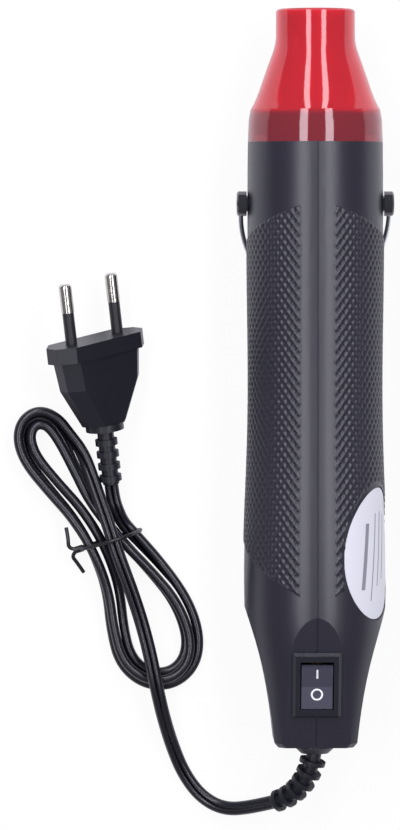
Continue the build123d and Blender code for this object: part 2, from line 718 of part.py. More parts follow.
def motor_case():
    """Steel can with a nose, open at the back."""
    back = MOTOR_FRONT_Y - MOTOR_LENGTH
    can = along_y(MOTOR_R, back, MOTOR_FRONT_Y) + along_y(MOTOR_NOSE_R, MOTOR_FRONT_Y, MOTOR_FRONT_Y + MOTOR_NOSE)
    can -= along_y(MOTOR_R - CAN_WALL, back - CUT_MARGIN, MOTOR_FRONT_Y - CAN_FACE)
    can -= along_y(SHAFT_R + RUN_GAP, back, MOTOR_FRONT_Y + MOTOR_NOSE + CUT_MARGIN)
    for dx in (-MOTOR_SCREW_CIRCLE_R, MOTOR_SCREW_CIRCLE_R):
        can -= along_y(MOTOR_SCREW_R + RUN_GAP, MOTOR_FRONT_Y - CAN_FACE, MOTOR_FRONT_Y + CUT_MARGIN, dx)
    return can


def motor_endcap():
    """Plug in the back of the can, with the rear bearing and slots for the terminals."""
    back = MOTOR_FRONT_Y - MOTOR_LENGTH
    cap = along_y(MOTOR_R - CAN_WALL - RUN_GAP, back - CAP_THICK / 2, back + CAP_THICK / 2)
    cap -= along_y(SHAFT_R + RUN_GAP, back - CAP_THICK, back + CAP_THICK)
    return cap


def motor_magnets():
    """Two curved magnets in the can."""
    y_from = MOTOR_FRONT_Y - MOTOR_LENGTH + CAP_THICK / 2 + CUT_MARGIN
    y_to = MOTOR_FRONT_Y - CAN_FACE - CUT_MARGIN
    outer = MOTOR_R - CAN_WALL - RUN_GAP
    ring = along_y(outer, y_from, y_to) - along_y(outer - MAGNET_THICK, y_from, y_to)
    height = 2 * outer * math.sin(math.radians(MAGNET_HALF_ANGLE))
    keep = Box(2 * BULGE_R, MOTOR_LENGTH, height)
    keep -= Box(outer - MAGNET_THICK, MOTOR_LENGTH, height)
    ring &= Pos(0, (y_from + y_to) / 2, AXIS_Z) * keep
    return list(ring.solids())


def motor_shaft():
    """Steel shaft from the rear bearing to the fan."""
    return along_y(SHAFT_R, MOTOR_FRONT_Y - MOTOR_LENGTH - CAP_THICK / 2 - SHAFT_BACK, MOTOR_FRONT_Y + SHAFT_FRONT)


def motor_armature():
    """Wound armature on the shaft, with three slots."""
    middle = MOTOR_FRONT_Y - MOTOR_LENGTH / 2
    y_from, y_to = middle - ARMATURE_LENGTH / 2, middle + ARMATURE_LENGTH / 2
    core = along_y(ARMATURE_R, y_from, y_to) - along_y(SHAFT_R + RUN_GAP / 5, y_from, y_to)
    slot = Box(SHAFT_R * 2, ARMATURE_LENGTH + CUT_MARGIN, ARMATURE_R)
    for k in range(3):
        turn = Pos(0, middle, AXIS_Z) * Rot(0, 120 * k, 0) * Pos(0, 0, ARMATURE_R)
        core -= turn * slot
    return core


def fan_impeller():
    """Axial wheel with pitched blades."""
    y_from = MOTOR_FRONT_Y + MOUNT_THICK + FAN_CLEAR
    y_to = y_from + FAN_LENGTH
    wheel = along_y(FAN_HUB_R, y_from, y_to)
    span = FAN_R - FAN_HUB_R / 2
    blade = Pos(0, 0, FAN_HUB_R / 2 + span / 2) * Rot(0, 0, FAN_BLADE_PITCH) * Box(
        FAN_BLADE_THICK, FAN_BLADE_CHORD, span)
    for k in range(FAN_BLADES):
        wheel += Pos(0, (y_from + y_to) / 2, AXIS_Z) * Rot(0, 360 / FAN_BLADES * k, 0) * blade
    wheel &= along_y(FAN_R, y_from, y_to)
    return wheel - along_y(SHAFT_R + RUN_GAP / 5, y_from - CUT_MARGIN, MOTOR_FRONT_Y + SHAFT_FRONT)


def motor_mount():
    """Spider between the motor's face and the shell."""
    y_from, y_to = MOTOR_FRONT_Y, MOTOR_FRONT_Y + MOUNT_THICK
    rim_r = half_width(y_from) - WALL - SEAT_GAP
    rim = along_y(rim_r, y_from, y_to) - along_y(rim_r - MOUNT_RIM, y_from, y_to)
    for k in range(3):
        arm = Pos(0, 0, rim_r / 2) * Box(MOUNT_ARM, MOUNT_THICK, rim_r - MOUNT_RIM / 2)
        rim += Pos(0, (y_from + y_to) / 2, AXIS_Z) * Rot(0, 120 * k, 0) * arm
    rim += along_y(MOUNT_HUB_R, y_from, y_to)
    rim -= along_y(MOUNT_BORE_R, y_from - CUT_MARGIN, y_to + CUT_MARGIN)
    for dx in (-MOTOR_SCREW_CIRCLE_R, MOTOR_SCREW_CIRCLE_R):
        rim -= along_y(MOTOR_SCREW_R + RUN_GAP, y_from - CUT_MARGIN, y_to + CUT_MARGIN, dx)
    return rim


def motor_screws():
    """Two screws through the spider into the motor's face."""
    found = []
    face = MOTOR_FRONT_Y + MOUNT_THICK
    for dx in (-MOTOR_SCREW_CIRCLE_R, MOTOR_SCREW_CIRCLE_R):
        head = along_y(MOTOR_SCREW_HEAD_R, face, face + MOTOR_SCREW_HEAD, dx)
        found.append(head + along_y(MOTOR_SCREW_R, MOTOR_FRONT_Y - CAN_FACE, face, dx))
    return found


def board_face():
    """Place of the front face of the rectifier board."""
    return MOTOR_FRONT_Y - MOTOR_LENGTH - CAP_THICK / 2 - BOARD_STANDOFF


def rectifier_board():
    """Round board behind the motor."""
    board = along_y(BOARD_R, board_face() - BOARD_THICK, board_face())
    return board - along_y(2 * SHAFT_R, board_face() - 2 * BOARD_THICK, board_face() + BOARD_THICK)


def motor_terminals():
    """Two strips from the end cap that carry the board."""
    found = []
    for dx in (-TERMINAL_OFFSET, TERMINAL_OFFSET):
        strip = Box(TERMINAL_THICK, BOARD_STANDOFF, TERMINAL_WIDTH)
        found.append(Pos(dx, board_face() + BOARD_STANDOFF / 2, AXIS_Z) * strip)
    return found


def diodes():
    """Four diodes on the back of the board."""
    found = []
    y = board_face() - BOARD_THICK - DIODE_R
    for k in range(DIODE_COUNT):
        dz = (k - (DIODE_COUNT - 1) / 2) * DIODE_SPACING
        found.append(along_x(DIODE_R, -DIODE_LENGTH / 2, DIODE_LENGTH / 2, y, dz))
    return found


def tube_back():
    """Place of the back end of the outlet tube."""
    return FUNNEL_BACK_Y + FUNNEL_LENGTH


def air_funnel():
    """Duct that draws the fan's air into the outlet tube."""
    wide = half_width(FUNNEL_BACK_Y) - WALL - SEAT_GAP
    back, front = FUNNEL_BACK_Y, tube_back()
    bore, narrow = TUBE_R + RUN_GAP, TUBE_R + RUN_GAP + FUNNEL_WALL
    return turned([
        (wide, back), (wide, back + FUNNEL_COLLAR), (narrow, front), (narrow, front + FUNNEL_COLLAR),
        (bore, front + FUNNEL_COLLAR), (bore, front), (TUBE_R - TUBE_WALL, front),
        (wide - FUNNEL_WALL, back + FUNNEL_COLLAR - FUNNEL_WALL), (wide - FUNNEL_WALL, back),
    ])


def outlet_tube():
    """Thin steel tube that carries the hot air to the mouth."""
    y_from, y_to = tube_back(), TIP_Y - TUBE_RECESS
    return along_y(TUBE_R, y_from, y_to) - along_y(TUBE_R - TUBE_WALL, y_from - CUT_MARGIN, y_to + CUT_MARGIN)


def heat_ring():
    """Ring that centres the tube in the neck."""
    y_from = FRONT_Y
    ring = along_y(NECK_BORE_R - RUN_GAP, y_from, y_from + RING_LENGTH)
    return ring - along_y(TUBE_R + RUN_GAP, y_from - CUT_MARGIN, y_from + RING_LENGTH + CUT_MARGIN)


def mica_back():
    """Place of the back end of the mica plates."""
    return tube_back() + MICA_BACK_GAP


def heater_frame():
    """Two slotted mica plates pushed into each other."""
    y_from, y_mid = mica_back(), mica_back() + MICA_LENGTH / 2
    plate = Box(MICA_THICK, MICA_LENGTH, 2 * MICA_HALF_WIDTH)
    slot = Box(MICA_THICK + 2 * RUN_GAP, MICA_LENGTH / 2 + RUN_GAP, MICA_THICK + 2 * RUN_GAP)
    upright = Pos(0, y_mid, AXIS_Z) * plate - Pos(0, y_from + MICA_LENGTH / 4, AXIS_Z) * slot
    level = Pos(0, y_mid, AXIS_Z) * Rot(0, 90, 0) * plate - Pos(0, y_mid + MICA_LENGTH / 4, AXIS_Z) * slot
    return [upright, level]


def heater_coil():
    """Resistance wire wound round the plates."""
    radius = MICA_HALF_WIDTH + COIL_WIRE_R + RUN_GAP
    length = COIL_PITCH * COIL_TURNS
    y = mica_back() + (MICA_LENGTH - length) / 2
    path = Pos(0, y, AXIS_Z) * Rot(-90, 0, 0) * Helix(COIL_PITCH, length, radius)
    return sweep(Plane(origin=path @ 0, z_dir=path % 0) * Circle(COIL_WIRE_R), path, is_frenet=True)


def mica_sleeve():
    """Insulating liner between the coil and the tube."""
    outer = TUBE_R - TUBE_WALL - SLIP_GAP
    y_from, y_to = mica_back() - SLEEVE_MARGIN, mica_back() + MICA_LENGTH + SLEEVE_MARGIN
    return along_y(outer, y_from, y_to) - along_y(outer - SLEEVE_THICK, y_from, y_to)


def thermostat():
    """Bimetal cut-out on the upright plate."""
    x = MICA_THICK / 2 + THERMOSTAT_WIDTH / 2
    z = MICA_THICK / 2 + THERMOSTAT_HEIGHT / 2 + SEAT_GAP
    y = mica_back() + THERMOSTAT_LENGTH
    return Pos(x, y, AXIS_Z + z) * Box(THERMOSTAT_WIDTH, THERMOSTAT_LENGTH, THERMOSTAT_HEIGHT)


def thermal_fuse():
    """Round fuse on the other side of the plate."""
    y = mica_back() + THERMOSTAT_LENGTH
    offset = MICA_THICK / 2 + FUSE_R + RUN_GAP
    return along_y(FUSE_R, y, y + FUSE_LENGTH, -offset, -offset)


def clamp_face():
    """Distance from the seam to the clamp's inner face."""
    return CORD_DIA / 2 + RUN_GAP


def cord_clamp():
    """Bar that presses the cord against the posts."""
    y = TAIL_Y + CLAMP_FROM_TAIL
    bar = Box(CLAMP_THICK, CLAMP_WIDTH, 2 * CLAMP_HALF_LENGTH)
    bar = Pos(-clamp_face() - CLAMP_THICK / 2, y, AXIS_Z) * bar
    for dz in (-CLAMP_POST_OFFSET, CLAMP_POST_OFFSET):
        bar -= along_x(CLAMP_SCREW_R + RUN_GAP, -BULGE_R, BULGE_R, y, dz)
    return bar


def clamp_screws():
    """Screws through the clamp into the posts."""
    y = TAIL_Y + CLAMP_FROM_TAIL
    back = -clamp_face() - CLAMP_THICK
    found = []
    for dz in (-CLAMP_POST_OFFSET, CLAMP_POST_OFFSET):
        head = along_x(CLAMP_SCREW_HEAD_R, back - CLAMP_SCREW_HEAD, back, y, dz)
        found.append(head + along_x(CLAMP_SCREW_R, back, CLAMP_SCREW_REACH, y, dz))
    return found


def tube_along(points, radius):
    """Round tube along straight runs joined by tangent arcs."""
    points = [Vector(*p) for p in points]
    if len(points) == 2:
        path = Line(*points).edge()
    else:
        path = FilletPolyline(*points, radius=corner_radii(points)).wire()
    return sweep(Plane(origin=path @ 0, z_dir=path % 0) * Circle(radius), path)


def corner_radii(points):
    """Radius at each corner of a route: a share of the shorter run over the tangent of half the turn."""
    radii = []
    for a, b, c in zip(points, points[1:], points[2:]):
        run, after = b - a, c - b
        half = math.radians(run.get_angle(after)) / 2
        radii.append(ARC_SHARE * min(run.length, after.length) / math.tan(half))
    return radii


def internal_wires():
    """Insulated leads: the cord's end to the switch and the board, and the switch to the board."""
    r = WIRE_LEAD_R
    y_cord = TAIL_Y + TAIL_WALL + BOOT_FLANGE + SLIP_GAP
    y_split = TAIL_Y + CLAMP_FROM_TAIL + CLAMP_WIDTH
    cord = along_y(CORD_DIA / 2, y_cord, y_split)
    end = board_face() - BOARD_THICK
    low = AXIS_Z - WIRE_DROP
    tab_bottom = SWITCH_BODY_DEPTH + TAB_REACH + 3 * SEAT_GAP
    first = on_panel(-r, -TAB_OFFSET, tab_bottom + r).position
    second = on_panel(r, 0, tab_bottom + r).position
    leads = [cord]
    for points in (
        [(r, y_split, AXIS_Z), (r, y_split + 2 * r, AXIS_Z - r), (first.X + 2 * r, first.Y, first.Z)],
        [
            (-r, y_split, AXIS_Z), (-2 * r, y_split + 2 * r, low + r), (-4 * r, y_split + WIRE_SPREAD, low),
            (-WIRE_SPREAD, end - 2 * WIRE_SPREAD, low), (-WIRE_SPREAD, end - 3 * r, AXIS_Z), (-WIRE_SPREAD, end, AXIS_Z),
        ],
        [
            (second.X, second.Y, second.Z), (3 * r, second.Y + 3 * r, low + r / 2), (WIRE_SPREAD, end - 2 * WIRE_SPREAD, low),
            (WIRE_SPREAD, end - 3 * r, AXIS_Z), (WIRE_SPREAD, end, AXIS_Z),
        ],
    ):
        leads.append(tube_along(points, r))
    return leads


def boot_path():
    """Arc of the strain relief: it leaves along the tool and turns to the left and down."""
    drop = math.radians(BOOT_DROP)
    side = Vector(-math.cos(drop), 0, -math.sin(drop))
    out = Vector(0, -1, 0)
    start = Vector(0, TAIL_Y, AXIS_Z)

    def at(share):
        turn = math.radians(BOOT_BEND) * share
        return start + out * (BOOT_BEND_R * math.sin(turn)) + side * (BOOT_BEND_R * (1 - math.cos(turn)))

    def heading(share):
        turn = math.radians(BOOT_BEND) * share
        return out * math.cos(turn) + side * math.sin(turn)

    return at, heading


def cord_boot():
    """Flange, neck, domed collar, core and rib discs."""
    at, heading = boot_path()
    inside = TAIL_Y + TAIL_WALL + SLIP_GAP
    boot = along_y(BOOT_NECK_R, TAIL_Y - SLIP_GAP, inside) + along_y(BOOT_FLANGE_R, inside, inside + BOOT_FLANGE)
    boot += turned([
        (0, TAIL_Y - RUN_GAP), (BOOT_COLLAR_R, TAIL_Y - RUN_GAP), (BOOT_COLLAR_R, TAIL_Y - BOOT_COLLAR / 3),
        ((BOOT_COLLAR_R + BOOT_CORE_R) / 2, TAIL_Y - BOOT_COLLAR), (0, TAIL_Y - BOOT_COLLAR),
    ])
    arc = ThreePointArc(at(0), at(0.5), at(1))
    boot += sweep(Plane(origin=at(0), z_dir=heading(0)) * Circle(BOOT_CORE_R), arc)
    for k in range(BOOT_RIBS):
        step = k / (BOOT_RIBS - 1)
        share = BOOT_RIB_FIRST_SHARE + (BOOT_RIB_LAST_SHARE - BOOT_RIB_FIRST_SHARE) * step
        radius = BOOT_RIB_FIRST_R + (BOOT_RIB_LAST_R - BOOT_RIB_FIRST_R) * step
        plane = Plane(origin=at(share) - heading(share) * (BOOT_RIB_THICK / 2), z_dir=heading(share))
        boot += extrude(plane * Circle(radius), amount=BOOT_RIB_THICK)
    return boot


def plug_plane():
    """Plane of the plug's face: z along the pins, x along the broad side."""
    yaw, pitch, roll = (math.radians(v) for v in (PLUG_YAW, PLUG_PITCH, PLUG_ROLL))
    pins = Vector(-math.sin(yaw) * math.cos(pitch), math.cos(yaw) * math.cos(pitch), math.sin(pitch))
    level = pins.cross(Vector(0, 0, 1)).normalized()
    up = level.cross(pins).normalized()
    broad = level * -math.cos(roll) + up * math.sin(roll)
    thin = level * math.sin(roll) + up * math.cos(roll)
    corners = [(PLUG_FLAT / 2, PLUG_THICK / 2), (PLUG_WIDTH / 2, (PLUG_THICK - PLUG_WIDTH + PLUG_FLAT) / 2)]
    low = 0.0
    for x, y in corners:
        for z in (0.0, -PLUG_FLANGE):
            low = min(low, -abs(x * broad.Z + y * thin.Z) + z * pins.Z)
    return Plane(origin=(*PLUG_FACE, RUN_GAP - low), x_dir=broad, z_dir=pins)


def plug_outline(half_width_, half_thick, slope):
    """Eight sided outline of the plug."""
    flat = half_width_ - slope
    side = half_thick - slope
    points = [
        (flat, half_thick), (half_width_, side), (half_width_, -side), (flat, -half_thick),
        (-flat, -half_thick), (-half_width_, -side), (-half_width_, side), (-flat, half_thick),
    ]
    return make_face(Polyline(*points, close=True))


def plug_body():
    """Flange, grip, collar and ribbed boot, with cavities for the pin roots."""
    slope = (PLUG_WIDTH - PLUG_FLAT) / 2
    half, thick = PLUG_WIDTH / 2, PLUG_THICK / 2
    flange = extrude(plug_outline(half, thick, slope), amount=-PLUG_FLANGE)
    faces = []
    for share, wide, deep in PLUG_BODY_SHARES:
        place = Pos(0, 0, -PLUG_FLANGE - share * PLUG_BODY)
        faces.append(place * plug_outline(wide * half, deep * thick, slope * deep))
    body = flange + loft(faces, ruled=True)
    collar_z = -PLUG_FLANGE - PLUG_BODY
    body += Pos(0, 0, collar_z - PLUG_COLLAR / 2) * Cylinder(PLUG_COLLAR_R, PLUG_COLLAR)
    boot_z = collar_z - PLUG_COLLAR
    body += Pos(0, 0, boot_z - PLUG_BOOT / 2) * Cylinder(PLUG_BOOT_CORE_R, PLUG_BOOT)
    step = PLUG_BOOT / (PLUG_BOOT_RIBS + 0.5)
    for k in range(PLUG_BOOT_RIBS):
        body += Pos(0, 0, boot_z - step * (k + 1)) * Cylinder(PLUG_BOOT_RIB_R, PLUG_BOOT_RIB_THICK)
    for x in (-PIN_SPACING / 2, PIN_SPACING / 2):
        body -= Pos(x, 0, -PIN_ROOT / 2) * Cylinder(PIN_ROOT_R, PIN_ROOT)
    return Location(plug_plane()) * body


def plug_pins():
    """Round pins with a thinner stretch for the sleeve and a rounded tip."""
    found = []
    for x in (-PIN_SPACING / 2, PIN_SPACING / 2):
        root = Pos(x, 0, -PIN_ROOT / 2) * Cylinder(PIN_ROOT_R, PIN_ROOT)
        sleeve = PIN_LENGTH - PIN_TIP
        neck = Pos(x, 0, sleeve / 2) * Cylinder(PIN_NECK_R, sleeve)
        tip = Pos(x, 0, sleeve + PIN_TIP / 2) * Cylinder(PIN_R, PIN_TIP)
        tip = fillet(tip.edges().group_by(Axis.Z)[-1], PIN_R * PIN_NOSE_SHARE)
        found.append(Location(plug_plane()) * (root + neck + tip))
    return found


def pin_sleeves():
    """Insulating sleeves on the root half of the pins."""
    found = []
    length = PIN_LENGTH - PIN_TIP
    for x in (-PIN_SPACING / 2, PIN_SPACING / 2):
        ring = Cylinder(PIN_R - SLEEVE_STEP, length) - Cylinder(PIN_NECK_R + SLEEVE_GAP, length)
        found.append(Location(plug_plane()) * Pos(x, 0, length / 2) * ring)
    return found


def plug_cord_end():
    """Place where the cord enters the plug's boot, and the way out of it."""
    plane = plug_plane()
    depth = PLUG_FLANGE + PLUG_BODY + PLUG_COLLAR + PLUG_BOOT
    return plane.origin - plane.z_dir * depth, plane.z_dir * -1


def hank_points():
    """The hank's route: loops that spiral in and out again in two layers, drawn in at the waist."""
    loop = [Vector(x, y, 0) for x, y in HANK_LOOP_POINTS]
    count = len(loop)
    middle = HANK_TURNS / 2 * count
    low = CORD_DIA / 2
    points = []
    for n in range(HANK_START, HANK_TURNS * count + 1):
        j = n % count
        before, here, after = loop[j - 1], loop[j], loop[(j + 1) % count]
        into, out = (here - before).normalized(), (after - here).normalized()
        inward = Vector(-(into.Y + out.Y), into.X + out.X, 0).normalized()
        spread = 1 / math.cos(math.radians(into.get_angle(out)) / 2)
        inset = HANK_PITCH * (n if n <= middle else 2 * middle - n) / count
        climb = min(max((middle - n) / 3 + 0.5, 0.0), 1.0)
        height = low + HANK_RISE * climb
        if j in (0, HANK_WAIST_LEFT):
            height += TIE_LIFT
        place = here + inward * (inset * spread)
        points.append(Vector(place.X, place.Y, height))
    return points


def self_gap(points, radius):
    """Least gap between stretches of a tube that aren't neighbours, on points a millimetre apart."""
    path = FilletPolyline(*points, radius=corner_radii(points)).wire()
    count = int(path.length)
    spots = [path @ (k / count) for k in range(count + 1)]
    skip = int(4 * radius)
    least = path.length
    for i, a in enumerate(spots):
        for b in spots[i + skip:]:
            least = min(least, (a - b).length)
    return least - 2 * radius, path.length


def lead_points():
    """Route of the cord from the strain relief to the hank."""
    at, heading = boot_path()
    start = at(1)
    first, second = hank_points()[:2]
    way = (second - first).normalized()
    middle = [Vector(*p) for p in LEAD_POINTS]
    return [start, start + heading(1) * LEAD_FIRST_RUN, *middle, first - way * LEAD_LAST_RUN, first]


def tail_points():
    """Route of the cord from the hank to the plug's boot."""
    before, last = hank_points()[-2:]
    way = (last - before).normalized()
    end, out = plug_cord_end()
    return [last, last + way * TAIL_FIRST_RUN, Vector(*TAIL_MIDDLE), end + out * TAIL_LAST_RUN, end]


def cord_solid(name, points):
    """Round cord along its route, with its radii and volume printed."""
    radii = corner_radii(points)
    path = FilletPolyline(*points, radius=radii).wire()
    solid = sweep(Plane(origin=path @ 0, z_dir=path % 0) * Circle(CORD_DIA / 2), path)
    share = solid.volume / (math.pi * CORD_DIA**2 / 4 * path.length)
    print(name, "length", round(path.length, 1), "volume share", round(share, 4))
    print(name, "radii", [round(r, 1) for r in radii])
    return solid


def twist_tie():
    """Wire round the waist of the hank, twisted at the left with two free ends."""
    across_dir = Vector(TIE_ACROSS[0], TIE_ACROSS[1], 0).normalized()
    along_dir = Vector(-across_dir.Y, across_dir.X, 0)
    centre = Vector(TIE_CENTRE[0], TIE_CENTRE[1], 0)

    def place(v, z, u=0.0):
        return centre + across_dir * v + along_dir * u + Vector(0, 0, z)

    tie = tube_along([place(v, z) for v, z in TIE_LOOP_POINTS], TIE_WIRE_R)
    root_v = TIE_LOOP_POINTS[0][0]
    root_z = (TIE_LOOP_POINTS[0][1] + TIE_LOOP_POINTS[-1][1]) / 2
    root = place(root_v + TIE_WIRE_R, root_z)
    tie += extrude(Plane(origin=root, z_dir=across_dir * -1) * Circle(TIE_TWIST_R), amount=TIE_TWIST)
    knot = place(root_v + TIE_WIRE_R - TIE_TWIST / 2, root_z)
    for ends in (TIE_END_ONE, TIE_END_TWO):
        tie += tube_along([knot] + [place(v, z, u) for v, z, u in ends], TIE_WIRE_R)
    return tie


def write(name, shape):
    """Writes one node: a solid, or a group of separate solids."""
    if isinstance(shape, list):
        shape = Compound(children=[s.solid() if hasattr(s, "solid") else s for s in shape])
    export_step(shape, f"parts/{name}.step")
    return shape


def main():
    """Builds every node and writes it."""
    os.makedirs("parts", exist_ok=True)
    left, right = shells()
    write("shell_left", left)
    write("shell_right", right)
    write("shell_screws", shell_screws())
    write("rating_label", rating_label())
    write("nozzle_guard", nozzle_guard())
    write("bail_wire", bail_wire())
    stud_left, x_left = pivot_stud(-1)
    stud_right, x_right = pivot_stud(1)
    write("pivot_stud_left", stud_left)
    write("pivot_stud_right", stud_right)
    write("stud_clips", [stud_clip(-1, x_left), stud_clip(1, x_right)])
    write("switch_housing", switch_housing())
    write("switch_rocker", switch_rocker())
    write("switch_contact", switch_contact())
    write("switch_terminals", switch_terminals())
    write("motor_case", motor_case())
    write("motor_endcap", motor_endcap())
    write("motor_magnets", motor_magnets())
    write("motor_shaft", motor_shaft())
    write("motor_armature", motor_armature())
    write("fan_impeller", fan_impeller())
    write("motor_mount", motor_mount())
    write("motor_screws", motor_screws())
    write("rectifier_board", rectifier_board())
    write("motor_terminals", motor_terminals())
    write("diodes", diodes())
    write("air_funnel", air_funnel())
    write("outlet_tube", outlet_tube())
    write("heat_ring", heat_ring())
    write("heater_frame", heater_frame())
    write("heater_coil", heater_coil())
    write("mica_sleeve", mica_sleeve())
    write("thermostat", thermostat())
    write("thermal_fuse", thermal_fuse())
    write("cord_clamp", cord_clamp())
    write("clamp_screws", clamp_screws())
    write("internal_wires", internal_wires())
    write("cord_boot", cord_boot())
    write("plug_body", plug_body())
    write("plug_pins", plug_pins())
    write("pin_sleeves", pin_sleeves())
    write("twist_tie", twist_tie())
    write("cord_lead", cord_solid("cord_lead", lead_points()))
    write("cord_hank", cord_solid("cord_hank", hank_points()))
    write("cord_tail", cord_solid("cord_tail", tail_points()))
    gap, length = self_gap(hank_points(), CORD_DIA / 2)
    print("hank least gap", round(gap, 2), "length", round(length, 1))


main()
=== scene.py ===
"""Looks of an embossing heat tool that lies on a white table with its cord tied beside it.

Names that end in _mm hold millimetres. All else is in metres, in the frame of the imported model: +Y from the
tail to the nozzle, +Z up, and the origin on the table under the middle of the tool.
"""

import logging
import math
from dataclasses import dataclass
from enum import Enum

import bpy
from mathutils import Matrix, Vector

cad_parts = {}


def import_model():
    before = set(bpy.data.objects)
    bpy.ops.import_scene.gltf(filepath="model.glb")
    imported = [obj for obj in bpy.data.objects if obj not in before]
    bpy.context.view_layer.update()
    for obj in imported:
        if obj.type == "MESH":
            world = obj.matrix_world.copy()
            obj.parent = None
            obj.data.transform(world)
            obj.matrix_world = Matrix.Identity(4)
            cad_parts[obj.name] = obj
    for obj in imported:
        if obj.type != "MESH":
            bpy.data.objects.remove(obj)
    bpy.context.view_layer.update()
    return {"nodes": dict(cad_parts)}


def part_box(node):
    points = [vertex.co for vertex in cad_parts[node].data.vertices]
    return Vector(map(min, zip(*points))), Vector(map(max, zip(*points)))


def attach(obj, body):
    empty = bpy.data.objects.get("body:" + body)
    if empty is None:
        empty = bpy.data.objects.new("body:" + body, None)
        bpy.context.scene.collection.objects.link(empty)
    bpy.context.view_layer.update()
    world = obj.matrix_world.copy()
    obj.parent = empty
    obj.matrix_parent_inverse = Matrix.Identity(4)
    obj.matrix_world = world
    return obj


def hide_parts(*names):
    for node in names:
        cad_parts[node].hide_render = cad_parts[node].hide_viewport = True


log = logging.getLogger("heat_tool")

MM = 0.001
AXIS_MM = 22.0
SEARCH_MM = 40.0
LABEL_Y_MM = -53.8
LABEL_LEAN_DEG = 6.0
GRAIN_DETAIL = 3.0
GRAIN_ROUGHNESS = 0.6
CLOUD_DETAIL = 2.0
LINE_ORDER = 3
LINE_STEPS = 14


def linear(code: str) -> tuple[float, float, float, float]:
    """Turns an sRGB hex colour to linear, by the standard's formula.

    Args:
        code: Six hex digits.

    Returns:
        Linear red, green and blue, with full alpha.
    """
    channels = [int(code[i:i + 2], 16) / 255 for i in (0, 2, 4)]
    red, green, blue = (c / 12.92 if c <= 0.04045 else ((c + 0.055) / 1.055) ** 2.4 for c in channels)
    return red, green, blue, 1.0


def start_tree(owner: bpy.types.Material | bpy.types.World) -> bpy.types.NodeTree:
    """Turns on the nodes of a material or world and empties its tree.

    Args:
        owner: The material or world.

    Returns:
        The empty tree.
    """
    owner.use_nodes = True
    owner.node_tree.nodes.clear()
    return owner.node_tree


def add_node(
    tree: bpy.types.NodeTree, kind: str, settings: dict | None = None, links: dict | None = None,
) -> bpy.types.Node:
    """Adds a node, sets it and links its inputs.

    Args:
        tree: The node tree.
        kind: The node's type name.
        settings: Attribute names or input names or numbers, with their values.
        links: Input names or numbers, with the output sockets that feed them.

    Returns:
        The new node.
    """
    node = tree.nodes.new(kind)
    for key, value in (settings or {}).items():
        if isinstance(key, str) and hasattr(node, key):
            setattr(node, key, value)
        else:
            node.inputs[key].default_value = value
    for key, socket in (links or {}).items():
        tree.links.new(socket, node.inputs[key])
    return node


def add_tint(
    tree: bpy.types.NodeTree, colour: str, shade: str, cloud_mm: float, place: bpy.types.NodeSocket,
) -> tuple[bpy.types.NodeSocket, bpy.types.NodeSocket]:
    """Adds a colour that drifts a little from place to place.

    Args:
        tree: The node tree.
        colour: The main colour's six hex digits.
        shade: The darker colour's six hex digits.
        cloud_mm: The size of the drift.
        place: The socket that gives the place.

    Returns:
        The sockets of the colour and of the drift.
    """
    cloud = add_node(
        tree, "ShaderNodeTexNoise", {"Scale": 1 / (cloud_mm * MM), "Detail": CLOUD_DETAIL}, {"Vector": place},
    )
    tint = add_node(
        tree, "ShaderNodeMix", {"data_type": "RGBA", 6: linear(colour), 7: linear(shade)},
        {0: cloud.outputs["Fac"]},
    )
    return tint.outputs[2], cloud.outputs["Fac"]


def add_camera_rays(tree: bpy.types.NodeTree) -> bpy.types.NodeSocket:
    """Adds the test for rays that come from the camera, straight or through clear material.

    Args:
        tree: The node tree.

    Returns:
        The socket that is 1 for such rays.
    """
    rays = add_node(tree, "ShaderNodeLightPath")
    seen = add_node(
        tree, "ShaderNodeMath", {"operation": "MAXIMUM"},
        {0: rays.outputs["Is Camera Ray"], 1: rays.outputs["Is Transmission Ray"]},
    )
    return seen.outputs[0]


class Finish(Enum):
    """The finishes of the tool's pieces, with the names of their materials."""

    SHELL = "satin_abs_shell"
    GUARD = "red_polycarbonate"
    CHROME = "chromed_wire"
    KNOB = "gloss_abs_knob"
    BEZEL = "moulded_nylon_bezel"
    ROCKER = "spark_eroded_rocker"
    MARK = "printed_white_mark"
    LABEL = "vinyl_label"
    RULE = "printed_grey_rule"
    CORD = "extruded_pvc_cord"
    PLUG = "moulded_pvc_plug"
    TIE = "pvc_coated_tie"
    PIN = "nickel_plated_pin"
    SLEEVE = "nylon_pin_sleeve"
    TUBE = "heat_tinted_steel_tube"
    STEEL = "zinc_plated_steel"
    BRASS = "stamped_brass"
    MICA = "split_mica"
    COIL = "drawn_heating_wire"
    CERAMIC = "pressed_ceramic"
    IRON = "laminated_iron"
    NYLON = "grey_nylon_inner"
    BOARD = "phenolic_board"
    DIODE = "moulded_epoxy_diode"


